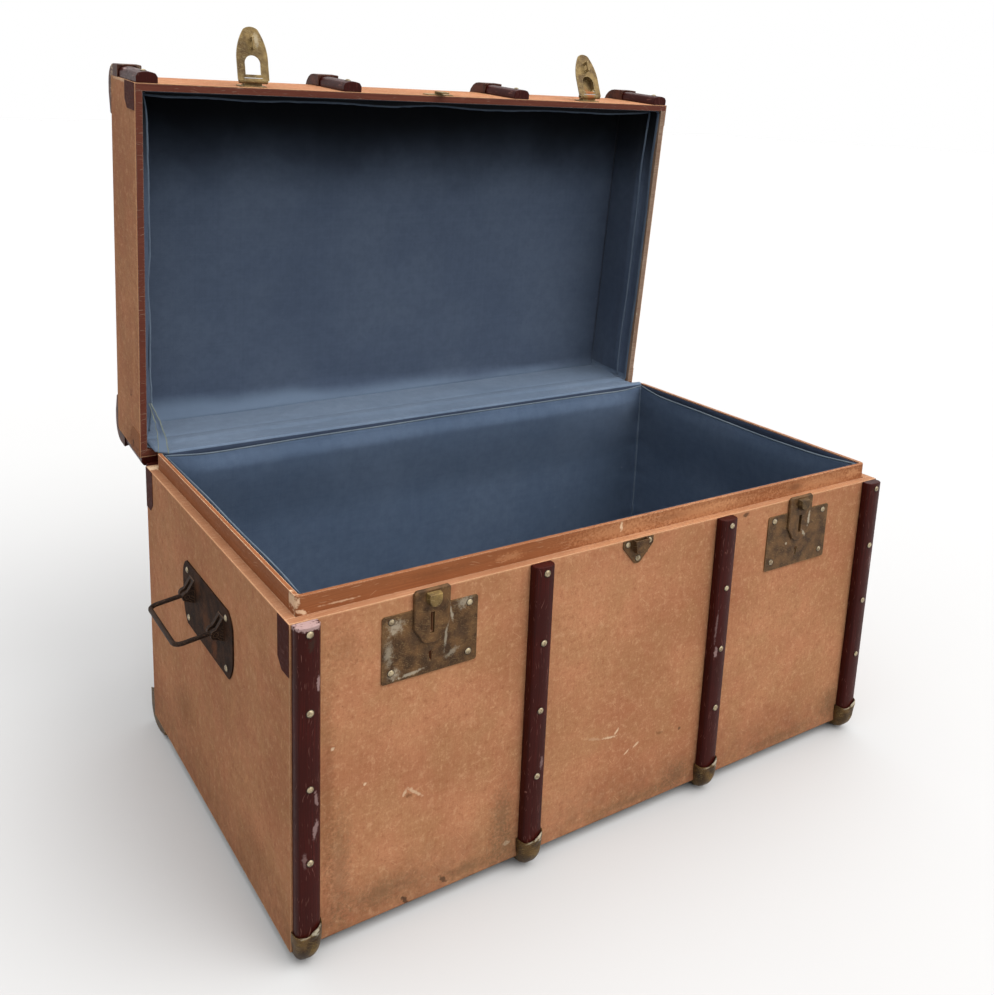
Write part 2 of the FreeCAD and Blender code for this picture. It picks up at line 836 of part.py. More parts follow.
solids["hinge_body_leaves"] = together([hinge_leaf(cx, False) for cx in hinge_xs])
pin_half = hinge_inner_half + hinge_side_play + hinge_knuckle_third
pins = []
for cx in hinge_xs:
    pins.append(round_bar(hinge_centre, X, hinge_pin_radius, cx - pin_half, cx + pin_half))
solids["hinge_pins"] = together(pins)

# The lid, built closed and then turned open about the hinge
lid = {}
inside_lid = lid_solid(lid_wall, beyond, -beyond)
lid["lid_canvas"] = lid_solid(0, half_l, lid_bottom).cut(lid_solid(canvas, half_l - canvas, -beyond))
lid["lid_wrap_board"] = lid_solid(canvas, half_l - canvas, lid_bottom).cut(inside_lid)
slab = lid_solid(lid_wall, half_l - canvas, lid_bottom)
left_end = block(-half_l, -half_l + lid_wall, -half_d, half_d, lid_bottom, lid_top)
lid["lid_left_end_board"] = slab.common(left_end)
lid["lid_right_end_board"] = mirror_x(lid["lid_left_end_board"])
hem = box_height + lid_lining_above_rim
lid["lid_lining"] = lid_solid(lid_wall, half_l - lid_wall, hem).cut(
    lid_solid(lid_wall + lining, half_l - lid_wall - lining, -beyond))
lid["lid_front_slats"] = together([slat_on_lid(cx, -1) for cx in slat_xs])
lid["lid_back_slats"] = together([slat_on_lid(cx, 1) for cx in slat_xs])
lid["lid_front_shoes"] = together([shoe(cx, -1, True) for cx in slat_xs])
lid["lid_back_shoes"] = together([shoe(cx, 1, True) for cx in slat_xs])
top_slats = []
for cx in slat_xs:
    start, steps = slat_outline(cx, slat_width, slat_height, 1, lid_top)
    top_slats.append(prism("xz", -run, run, start, steps))
lid["lid_top_slats"] = together(top_slats)
lid_patches = [patch(-1, True), patch(1, True)]
lid["lid_corner_patches"] = together(lid_patches + [mirror_x(p) for p in lid_patches])
lid["hinge_lid_leaves"] = together([hinge_leaf(cx, True) for cx in hinge_xs])
lid_nails = []
for cx in slat_xs:
    for side in (-1, 1):
        out = FreeCAD.Vector(0, side, 0)
        at = FreeCAD.Vector(cx, side * (half_d + slat_height), lid_bottom + lid_nail_from_rim)
        lid_nails.append(nail(at, out))
    for i in range(nail_count):
        y = (i - (nail_count - 1) / 2) * lid_nail_pitch
        lid_nails.append(nail(FreeCAD.Vector(cx, y, lid_top + slat_height), Z))
lid["lid_nails"] = together(lid_nails)

# Pin plate of the middle catch
p0 = lid_bottom + pin_plate_bottom_gap
p1 = p0 + pin_plate_height
start, steps = cut_corners(-pin_plate_half_width, pin_plate_half_width, p0, p1, plate_corner_cut)
pin_plate = prism("xz", -half_d, -half_d - pin_plate_thickness, start, steps)
tongue_mid = -catch_face - (cup_depth - cup_wall) / 2
w = tongue_half_width
tongue = block(-w, w, tongue_mid - tongue_thickness / 2, tongue_mid + tongue_thickness / 2,
               box_height - tongue_reach, (p0 + p1) / 2)
bridge = block(-w, w, -half_d - pin_plate_thickness / 2, tongue_mid, (3 * p0 + p1) / 4, (p0 + p1) / 2)
lid["lid_pin_plate"] = fused([pin_plate, tongue, bridge])

# Hasps: a plate on the lid's front holds the pin, the strap turns on it
axis_y = -half_d - hasp_axis_out
axis_z = box_height + hasp_axis_above_ledge
strap_back = case_face + hasp_gap_to_case
strap_front = strap_back + hasp_thickness


def hasp_axis(cx):
    """The centre of a hasp's pin on the closed lid."""
    return FreeCAD.Vector(cx, axis_y, axis_z)


def hasp_plate(cx):
    """The small plate on the lid with the middle knuckle."""
    w = hasp_plate_half_width
    z0 = axis_z - hasp_knuckle_radius
    z1 = axis_z + hasp_plate_height
    start, steps = cut_corners(cx - w, cx + w, z0, z1, plate_corner_cut)
    parts = [prism("xz", -half_d, -half_d - hasp_plate_thickness, start, steps)]
    k = hasp_plate_knuckle_half
    r = hasp_knuckle_radius
    web_top = z1 - 2 * plate_corner_cut
    parts.append(turned(hasp_axis(cx), X, [(-k, r), (k, r)], small_round_sides))
    parts.append(prism("yz", cx - k, cx + k, (-half_d, web_top), [
        [(-half_d - hasp_plate_thickness, web_top)],
        [(axis_y, axis_z + r)],
        [(axis_y, axis_z)],
        [(-half_d, axis_z)],
    ]))
    return fused(parts).cut(many_sided_bore(hasp_axis(cx), X, hasp_pin_radius))


def hasp_strap(cx, hood):
    """A strap hanging down in its closed place, with an opening for the nose and a staple."""
    w = hasp_half_width
    r = hasp_knuckle_radius
    top = axis_z
    low = axis_z - hasp_length
    sh = axis_z - hasp_straight_to
    tip = hasp_tip_shares
    shoulder_u = w * tip["shoulder_out"]
    shoulder_z = sh - (sh - low) * tip["shoulder_down"]
    cheek_u = w * tip["cheek_out"]
    cheek_z = sh - (sh - low) * tip["cheek_down"]
    plate = prism("xz", -strap_back, -strap_front, (cx - w, top), [
        [(cx - w, sh)],
        [(cx - shoulder_u, shoulder_z), (cx - cheek_u, cheek_z)],
        [(cx, low), (cx + cheek_u, cheek_z)],
        [(cx + shoulder_u, shoulder_z), (cx + w, sh)],
        [(cx + w, top)],
    ])
    a = hasp_opening_half_width
    o0 = axis_z - hasp_opening_near
    o1 = axis_z - hasp_opening_straight
    o2 = axis_z - hasp_opening_far
    window = prism("xz", -beyond, beyond, (cx - a, o0), [
        [(cx - a, o1)],
        [(cx, o2), (cx + a, o1)],
        [(cx + a, o0)],
    ])
    k = hasp_plate_knuckle_half + hasp_side_play
    gap = block(cx - k, cx + k, -beyond, beyond, axis_z - r - hasp_side_play, beyond)
    plate = plate.cut(gap)
    parts = [plate]
    e = hasp_ear_end
    for x0, x1 in ((cx - e, cx - k), (cx + k, cx + e)):
        parts.append(turned(hasp_axis(0), X, [(x0, r), (x1, r)], small_round_sides))
    bar = staple_bar
    s0 = axis_z - staple_near
    s1 = axis_z - staple_far
    sw = staple_width / 2
    stem = block(cx - sw, cx + sw, -strap_back - hasp_thickness / 2, -strap_back + staple_depth, s1, s0)
    eye = block(cx - w, cx + w, -strap_back, -strap_back + staple_depth - bar, s1 + bar, s0 - bar)
    parts.append(stem.cut(eye))
    form = fused(parts).cut(window)
    if hood:
        zc = axis_z - (hasp_opening_near + hasp_opening_far) / 2

        def cap(share, grow, out):
            u = hood_half_width * share + grow
            v = hood_half_height * share + grow
            corner = hood_corner_share * hood_half_width * share
            start, steps = cut_corners(cx - u, cx + u, zc - v, zc + v, corner)
            return [FreeCAD.Vector(x, out, z) for x, z in [start] + [step[0] for step in steps]]

        top_out = -strap_front - hood_rise
        shell = flat_faced([cap(1, 0, -strap_front), cap(hood_top_share, 0, top_out)])
        core_low = cap(1, -hood_wall, -strap_front + hood_wall)
        core = flat_faced([core_low, cap(hood_top_share, -hood_wall, top_out + hood_wall)])
        form = form.cut(core)
        form = fused([form, shell.cut(core)])
    bore = hasp_pin_radius + pin_play
    return form.cut(round_bar(hasp_axis(cx), X, bore, -beyond, beyond))


lid["left_hasp_plate"] = hasp_plate(-lock_x)
lid["right_hasp_plate"] = hasp_plate(lock_x)
lid["hasp_pins"] = together([
    round_bar(hasp_axis(-lock_x), X, hasp_pin_radius, -hasp_ear_end, hasp_ear_end),
    round_bar(hasp_axis(lock_x), X, hasp_pin_radius, -hasp_ear_end, hasp_ear_end),
])
left_strap = hasp_strap(-lock_x, False)
left_turn = 90.0 + hasp_left_lean
left_strap.rotate(hasp_axis(-lock_x), X, -left_turn)
lid["left_hasp"] = left_strap
right_strap = hasp_strap(lock_x, True)
right_turn = 90.0 + hasp_right_lean
right_strap.rotate(hasp_axis(lock_x), X, -right_turn)
lid["right_hasp"] = right_strap

for name, shape in lid.items():
    shape.rotate(hinge_centre, X, -lid_open_deg)
    solids[name] = shape

# Origin at the middle of the footprint, on the floor
whole = Part.makeCompound(list(solids.values())).optimalBoundingBox()
shift = FreeCAD.Vector(-(whole.XMin + whole.XMax) / 2, -(whole.YMin + whole.YMax) / 2, -whole.ZMin)
os.makedirs("parts", exist_ok=True)
for name, shape in solids.items():
    shape.translate(shift)
    shape.exportStep("parts/" + name + ".step")


def place(label, at):
    """Report a place in metres after the shift."""
    q = at + shift
    print("%-24s %.6f %.6f %.6f" % (label, q.x / 1000, q.y / 1000, q.z / 1000))


def opened(at):
    """A place of the closed lid carried to the open lid."""
    t = math.radians(-lid_open_deg)
    dy = at.y - hinge_y
    dz = at.z - hinge_z
    y = hinge_y + dy * math.cos(t) - dz * math.sin(t)
    z = hinge_z + dy * math.sin(t) + dz * math.cos(t)
    return FreeCAD.Vector(at.x, y, z)


print("size", whole.XLength, whole.YLength, whole.ZLength)
place("shift", FreeCAD.Vector(0, 0, 0))
place("lid hinge", hinge_centre)
place("left hasp", opened(hasp_axis(-lock_x)))
place("right hasp", opened(hasp_axis(lock_x)))
place("left bail", FreeCAD.Vector(-pivot_x, handle_y, pivot_z))
place("right bail", FreeCAD.Vector(pivot_x, handle_y, pivot_z))
print("nodes", len(solids))
for name, shape in sorted(solids.items()):
    bad = "" if shape.isValid() else " INVALID"
    count = len(shape.Solids)
    print("%-26s solids %d volume %.1f%s" % (name, count, shape.Volume, bad))
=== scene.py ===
"""An open travel trunk: the finishes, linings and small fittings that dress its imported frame."""

import json
import logging
import math
import random
from dataclasses import dataclass
from enum import Enum
from typing import Callable, Iterable, Sequence, Union

import bmesh
import bpy
from mathutils import Matrix, Vector, noise


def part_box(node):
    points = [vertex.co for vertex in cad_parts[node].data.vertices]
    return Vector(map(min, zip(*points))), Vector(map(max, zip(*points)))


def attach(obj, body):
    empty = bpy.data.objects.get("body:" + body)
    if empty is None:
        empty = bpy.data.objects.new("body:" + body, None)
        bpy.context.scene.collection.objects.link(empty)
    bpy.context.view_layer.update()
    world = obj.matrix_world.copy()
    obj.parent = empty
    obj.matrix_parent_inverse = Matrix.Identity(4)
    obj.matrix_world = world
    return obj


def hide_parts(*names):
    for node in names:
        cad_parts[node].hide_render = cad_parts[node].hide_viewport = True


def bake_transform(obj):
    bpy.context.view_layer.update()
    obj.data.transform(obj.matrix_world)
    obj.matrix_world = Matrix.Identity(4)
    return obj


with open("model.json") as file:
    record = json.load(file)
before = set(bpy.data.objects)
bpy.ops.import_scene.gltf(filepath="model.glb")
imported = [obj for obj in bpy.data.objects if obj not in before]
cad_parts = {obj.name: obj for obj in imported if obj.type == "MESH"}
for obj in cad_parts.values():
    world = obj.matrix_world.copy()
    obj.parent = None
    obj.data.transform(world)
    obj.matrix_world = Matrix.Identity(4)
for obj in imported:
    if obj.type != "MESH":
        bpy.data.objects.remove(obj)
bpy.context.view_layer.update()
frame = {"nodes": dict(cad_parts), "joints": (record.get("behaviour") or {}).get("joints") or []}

log = logging.getLogger("trunk")

MM = 0.001
UPRIGHT = math.pi / 2
# A distance in metres beyond every part of the trunk
FAR = 9.0
# Points of a CAD node that are nearer than this are one
WELD = 0.01 * MM
# Faces that turn less than this are one, and edges that turn more than the other are rounded
FLAT_ANGLE = math.radians(1.0)
HARD_ANGLE = math.radians(32.0)
ROUNDING_STEPS = 3
LARGE_FACE_WEIGHT = 80
# A direction that no welt or hem follows
LEANING = Vector((0.31, 0.17, 0.93))
TUBE_SIDES = 8
FIRST_SEED = 3
RIGHT_RIM = "lid_right_end_board"

Colour = tuple[float, float, float, float]
Socket = bpy.types.NodeSocket
Material = bpy.types.Material
Piece = bpy.types.Object
Feed = Union[Socket, float, Sequence[float]]


def srgb(red: int, green: int, blue: int) -> Colour:
    """Turn a screen colour into the linear one that shaders take.

    Args:
        red: Red, 0 to 255.
        green: Green, 0 to 255.
        blue: Blue, 0 to 255.

    Returns:
        The linear colour with full alpha.
    """
    def linear(level: int) -> float:
        """One channel's linear value."""
        share = level / 255
        return share / 12.92 if share <= 0.04045 else ((share + 0.055) / 1.055) ** 2.4

    return linear(red), linear(green), linear(blue), 1.0


# The trunk's own measures


@dataclass(frozen=True)
class TrunkMeasures:
    """Places on the trunk: x and y from its middle, y towards the back, z up from the box's underside."""

    origin: Vector
    half_length: float
    half_depth: float
    ledge: float
    lip_top: float
    hinge: Vector
    open_turn: float

    @classmethod
    def read(cls) -> "TrunkMeasures":
        """Read the measures from the frame.

        Returns:
            The measures.
        """
        low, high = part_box("body_canvas")
        lip_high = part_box("lip_front")[1]
        joint = next(j for j in frame["joints"] if j["name"] == "lid_hinge")
        middle = (low + high) / 2
        return cls(
            origin=Vector((middle.x, middle.y, low.z)),
            half_length=(high.x - low.x) / 2,
            half_depth=(high.y - low.y) / 2,
            ledge=high.z - low.z,
            lip_top=lip_high.z - low.z,
            hinge=Vector(joint["pos_m"]),
            open_turn=math.radians(joint["range_deg"][1]),
        )

    def at(self, x: float, y: float, z: float) -> Vector:
        """A place on the box, in the frame."""
        return self.origin + Vector((x, y, z))

    def lid_at(self, x: float, y: float, z: float) -> Vector:
        """A place given on the closed lid, carried to the open one."""
        turn = Matrix.Rotation(-self.open_turn, 3, "X")
        return self.hinge + turn @ (self.at(x, y, z) - self.hinge)

    def on_closed_lid(self, place: Vector) -> Vector:
        """A place of the open lid in the closed lid's measures."""
        turn = Matrix.Rotation(self.open_turn, 3, "X")
        return self.hinge + turn @ (place - self.hinge) - self.origin


# Shader wiring


class Wires:
    """Short calls that add and join nodes in one tree."""

    def __init__(self, tree: bpy.types.NodeTree) -> None:
        """Keep the tree that the calls add to."""
        self.tree = tree

    def feed(self, socket: Socket, value: Feed) -> None:
        """Link a socket, or set its own value.

        Args:
            socket: The input.
            value: Another node's output, a number or a row of numbers.
        """
        if isinstance(value, Socket):
            self.tree.links.new(value, socket)
        else:
            socket.default_value = value

    def add(self, kind: str, feeds: dict | None = None, **settings: object) -> bpy.types.Node:
        """Add a shader node.

        Args:
            kind: The node's type without its ShaderNode start.
            feeds: What goes into its inputs, by name or number.
            **settings: Properties of the node.

        Returns:
            The node.
        """
        node = self.tree.nodes.new("ShaderNode" + kind)
        for key, value in settings.items():
            setattr(node, key, value)
        for key, value in (feeds or {}).items():
            self.feed(node.inputs[key], value)
        return node

    def calc(self, operation: str, first: Feed, second: Feed = 0.0) -> Socket:
        """One step of arithmetic on one or two numbers."""
        return self.add("Math", {0: first, 1: second}, operation=operation).outputs[0]

    def times(self, first: Feed, second: Feed) -> Socket:
        """The product of two numbers."""
        return self.calc("MULTIPLY", first, second)

    def plus(self, first: Feed, second: Feed) -> Socket:
        """The sum of two numbers."""
        return self.calc("ADD", first, second)

    def minus(self, first: Feed, second: Feed) -> Socket:
        """The first number less the second."""
        return self.calc("SUBTRACT", first, second)

    def over(self, first: Feed, second: Feed) -> Socket:
        """The first number divided by the second."""
        return self.calc("DIVIDE", first, second)

    def either(self, share: Feed, first: Feed, second: Feed) -> Socket:
        """The first number where the share is 1, the second where it is 0."""
        return self.plus(self.times(share, first), self.times(self.minus(1.0, share), second))

    def reach(self, value: Feed, low: Feed, high: Feed, to_low: Feed = 0.0,
              to_high: Feed = 1.0) -> Socket:
        """A number's smooth climb between two limits."""
        feeds = {"Value": value, "From Min": low, "From Max": high, "To Min": to_low, "To Max": to_high}
        return self.add("MapRange", feeds, interpolation_type="SMOOTHSTEP").outputs["Result"]

    def mix(self, share: Feed, first: Feed, second: Feed) -> Socket:
        """Two colours mixed by a share."""
        return self.add("Mix", {0: share, 6: first, 7: second}, data_type="RGBA").outputs[2]

    def layered(self, ground: Feed, layers: Iterable[tuple[Feed, Colour]]) -> Feed:
        """Lay colours over a ground, one after the other.

        Args:
            ground: The lowest colour.
            layers: How much of each colour shows, and the colour.

        Returns:
            The colour on top.
        """
        for share, ink in layers:
            ground = self.mix(share, ground, ink)
        return ground

    def parts(self, vector: Feed) -> tuple[Socket, ...]:
        """The three numbers of a vector."""
        return tuple(self.add("SeparateXYZ", {0: vector}).outputs)

    def join(self, x: Feed, y: Feed, z: Feed = 0.0) -> Socket:
        """A vector of three numbers."""
        return self.add("CombineXYZ", {0: x, 1: y, 2: z}).outputs[0]

    def shift(self, operation: str, first: Feed, second: Feed) -> Socket:
        """One step of arithmetic on two vectors."""
        return self.add("VectorMath", {0: first, 1: second}, operation=operation).outputs["Vector"]

    def spin(self, vector: Feed, angle: Feed, axis: str = "Z_AXIS") -> Socket:
        """A vector turned about an axis."""
        return self.add("VectorRotate", {"Vector": vector, "Angle": angle}, rotation_type=axis).outputs[0]

    def clouds(self, vector: Feed, scale: Feed, detail: float = 3.0, roughness: float = 0.5) -> Socket:
        """Noise between 0 and 1."""
        feeds = {"Vector": vector, "Scale": scale, "Detail": detail, "Roughness": roughness}
        return self.add("TexNoise", feeds).outputs["Fac"]

    def wander(self, vector: Feed, scale: float) -> Socket:
        """A vector of three noises, each about 0."""
        noises = self.add("TexNoise", {"Vector": vector, "Scale": scale, "Detail": 2.0}).outputs["Color"]
        return self.shift("SUBTRACT", noises, (0.5, 0.5, 0.5))


class Effect(Enum):
    """The shader groups that finishes share."""

    FACE_PLACE = "Face place"
    WEAVE = "Weave"
    MOTTLE = "Mottle"
    SPECKS = "Specks"
    SCRATCHES = "Scratches"
    EDGE_WEAR = "Edge wear"
    MARK = "Mark"
    GRAIN = "Grain"


class EffectGroup:
    """A shared shader group with named inputs and outputs, filled by the method that its effect names."""

    def __init__(self, effect: Effect) -> None:
        """Make the group.

        Args:
            effect: What it shows.
        """
        self.tree = bpy.data.node_groups.new(effect.value, "ShaderNodeTree")
        self.wires = Wires(self.tree)
        self.entry = self.tree.nodes.new("NodeGroupInput")
        self.exit = self.tree.nodes.new("NodeGroupOutput")
        getattr(self, effect.name.lower())()

    def takes(self, name: str, default: float | None = None) -> Socket:
        """Add an input: a number with a default, or a vector.

        Args:
            name: The input's name.
            default: The number's own value, or none for a vector.

        Returns:
            What the group's nodes link to.
        """
        kind = "NodeSocketVector" if default is None else "NodeSocketFloat"
        made = self.tree.interface.new_socket(name=name, in_out="INPUT", socket_type=kind)
        if default is not None:
            made.default_value = default
        return self.entry.outputs[name]

    def gives(self, name: str, value: Socket, kind: str = "NodeSocketFloat") -> None:
        """Add an output and link it."""
        self.tree.interface.new_socket(name=name, in_out="OUTPUT", socket_type=kind)
        self.tree.links.new(value, self.exit.inputs[name])

    def face_place(self) -> None:
        """Places along a face in metres, whichever way the face looks."""
        w = self.wires
        tilt = self.takes("Tilt", 0.0)
        source = w.add("TexCoord").outputs
        place = w.spin(source["Object"], tilt, "X_AXIS")
        facing = w.spin(source["Normal"], tilt, "X_AXIS")
        x, y, z = w.parts(place)
        ax, ay, az = (w.calc("ABSOLUTE", part) for part in w.parts(facing))
        sideways = w.calc("GREATER_THAN", ax, w.calc("MAXIMUM", ay, az))
        level = w.times(w.calc("GREATER_THAN", az, ay), w.minus(1.0, sideways))
        along = w.plus(x, w.times(sideways, w.minus(y, x)))
        across = w.plus(z, w.times(level, w.minus(y, z)))
        self.gives("Flat", w.join(along, across), "NodeSocketVector")
        self.gives("Front", w.join(x, z), "NodeSocketVector")
        self.gives("End", w.join(y, z), "NodeSocketVector")
        self.gives("Place", place, "NodeSocketVector")

    def weave(self) -> None:
        """A plain weave: threads that pass over and under each other."""
        w = self.wires
        flat = self.takes("Flat")
        pitch = self.takes("Pitch", 0.001)
        uneven = self.takes("Uneven", 0.3)
        feeds = {0: w.wander(flat, 90.0), "Scale": w.times(uneven, pitch)}
        moved = w.add("VectorMath", feeds, operation="SCALE").outputs[0]
        u, v, _ = w.parts(w.shift("ADD", flat, moved))
        u, v = w.over(u, pitch), w.over(v, pitch)
        column, row = w.calc("FLOOR", u), w.calc("FLOOR", v)
        over = w.calc("PINGPONG", w.plus(column, row), 1.0)
        rise_u = w.calc("SINE", w.times(w.calc("FRACT", u), math.pi))
        rise_v = w.calc("SINE", w.times(w.calc("FRACT", v), math.pi))
        warp = w.times(rise_u, w.plus(0.55, w.times(rise_v, 0.45)))
        weft = w.times(rise_v, w.plus(0.55, w.times(rise_u, 0.45)))
        tone_u = w.add("TexWhiteNoise", {"W": column}, noise_dimensions="1D").outputs["Value"]
        tone_v = w.add("TexWhiteNoise", {"W": w.plus(row, 7.3)}, noise_dimensions="1D").outputs["Value"]
        self.gives("Height", w.either(over, warp, weft))
        self.gives("Thread", w.either(over, tone_u, tone_v))

    def mottle(self) -> None:
        """Blotches at two scales."""
        w = self.wires
        place = self.takes("Place")
        scale = w.over(1.0, self.takes("Size", 0.1))
        self.gives("Broad", w.reach(w.clouds(place, scale, 3.0, 0.55), 0.3, 0.7))
        self.gives("Fine", w.clouds(place, w.times(scale, 12.0), 5.0, 0.65))

    def specks(self) -> None:
        """Scattered spots, few or many."""
        w = self.wires
        place = self.takes("Place")
        spacing = self.takes("Spacing", 0.02)
        share = self.takes("Share", 0.2)
        radius = self.takes("Radius", 0.1)
        wobble = w.shift("MULTIPLY", w.wander(place, 400.0), (0.004, 0.004, 0.004))
        feeds = {"Vector": w.shift("ADD", place, wobble), "Scale": w.over(1.0, spacing)}
        cells = w.add("TexVoronoi", feeds).outputs
        pick, width, _ = w.parts(cells["Color"])
        reach = w.times(radius, w.plus(0.3, width))
        spot = w.reach(cells["Distance"], reach, w.times(reach, 0.55))
        self.gives("Mask", w.times(spot, w.calc("LESS_THAN", pick, share)))

    def scratches(self) -> None:
        """Fine broken strokes in one main direction."""
        w = self.wires
        flat = self.takes("Flat")
        spun = w.spin(flat, self.takes("Turn", 0.0))
        long = self.takes("Long", 0.04)
        wide = self.takes("Wide", 0.001)
        share = self.takes("Share", 0.1)
        bend = w.times(w.minus(w.clouds(spun, 18.0, 2.0), 0.5), 0.03)
        x, y, _ = w.parts(spun)
        line = w.clouds(w.join(w.over(x, long), w.over(w.plus(y, bend), wide)), 1.0, 1.0, 0.4)
        edge = w.minus(0.78, w.times(share, w.times(w.clouds(flat, 14.0, 2.0), 0.6)))
        self.gives("Mask", w.reach(line, edge, w.plus(edge, 0.05)))

    def edge_wear(self) -> None:
        """Rubbed edges, ragged along their length."""
        w = self.wires
        place = self.takes("Place")
        bevel = w.add("Bevel", {"Radius": self.takes("Reach", 0.002)}, samples=6).outputs[0]
        ragged = self.takes("Ragged", 0.5)
        normal = w.add("NewGeometry").outputs["Normal"]
        same = w.add("VectorMath", {0: bevel, 1: normal}, operation="DOT_PRODUCT").outputs["Value"]
        chips = w.times(w.clouds(place, 220.0, 4.0, 0.7), 0.6)
        runs = w.times(w.clouds(place, 26.0, 2.0, 0.5), 0.6)
        doubt = w.times(w.minus(1.0, w.plus(chips, runs)), ragged)
        worn = w.minus(w.times(w.minus(1.0, same), 3.0), w.times(doubt, 1.1))
        self.gives("Mask", w.reach(worn, 0.0, 0.22))

    def mark(self) -> None:
        """One mark with a ragged or soft edge."""
        w = self.wires
        flat = self.takes("Flat")
        ragged = self.takes("Ragged", 0.5)
        along, up, turn = (self.takes(name, 0.0) for name in ("Along", "Up", "Turn"))
        long, wide, soft = self.takes("Long", 0.01), self.takes("Wide", 0.002), self.takes("Soft", 0.0)
        x, y, _ = w.parts(w.spin(w.shift("SUBTRACT", flat, w.join(along, up)), turn))
        x, y = w.over(x, long), w.over(y, wide)
        far = w.calc("SQRT", w.plus(w.times(x, x), w.times(y, y)))
        jitter = w.times(w.minus(ragged, 0.5), 2.6)
        self.gives("Mask", w.reach(w.plus(far, jitter), 1.15, w.minus(0.6, soft)))

    def grain(self) -> None:
        """Long wood fibres along one of a face's ways."""
        w = self.wires
        spun = w.spin(self.takes("Flat"), self.takes("Turn", 0.0))
        fine = self.takes("Fine", 0.0006)
        long = self.takes("Long", 0.11)
        x, y, _ = w.parts(spun)
        sway = w.times(w.minus(w.clouds(spun, 5.0, 2.0), 0.5), 0.01)
        run = w.join(w.over(x, long), w.over(w.plus(y, sway), fine))
        self.gives("Fibre", w.clouds(run, 1.0, 3.0, 0.6))


GROUPS: dict[Effect, bpy.types.NodeTree] = {}


def shared(effect: Effect) -> bpy.types.NodeTree:
    """The group of an effect, built when first asked for.

    Args:
        effect: The effect.

    Returns:
        Its group.
    """
    if effect not in GROUPS:
        GROUPS[effect] = EffectGroup(effect).tree
    return GROUPS[effect]


class Side(Enum):
    """The way from which a mark is laid on."""

    FRONT = "Front"
    END = "End"


@dataclass(frozen=True)
class Mark:
    """A single mark: its place and size in metres, its colour, and the depth beyond which it doesn't show."""

    along: float
    up: float
    long: float
    wide: float
    turn: float
    ink: Colour
    strength: float
    soft: float
    side: Side
    limit: float


@dataclass(frozen=True)
class Spots:
    """Scattered spots: the distance between places, the share that has one, its radius over that distance."""

    spacing: float
    share: float
    radius_share: float

    def feeds(self) -> dict[str, float]:
        """Their values for the shared shader group."""
        return {"Spacing": self.spacing, "Share": self.share, "Radius": self.radius_share}


@dataclass(frozen=True)
class Strokes:
    """Fine scratches: their turn, length, width and how many there are."""

    turn: float
    long: float
    wide: float
    share: float

    def feeds(self) -> dict[str, float]:
        """Their values for the shared shader group."""
        return {"Turn": self.turn, "Long": self.long, "Wide": self.wide, "Share": self.share}


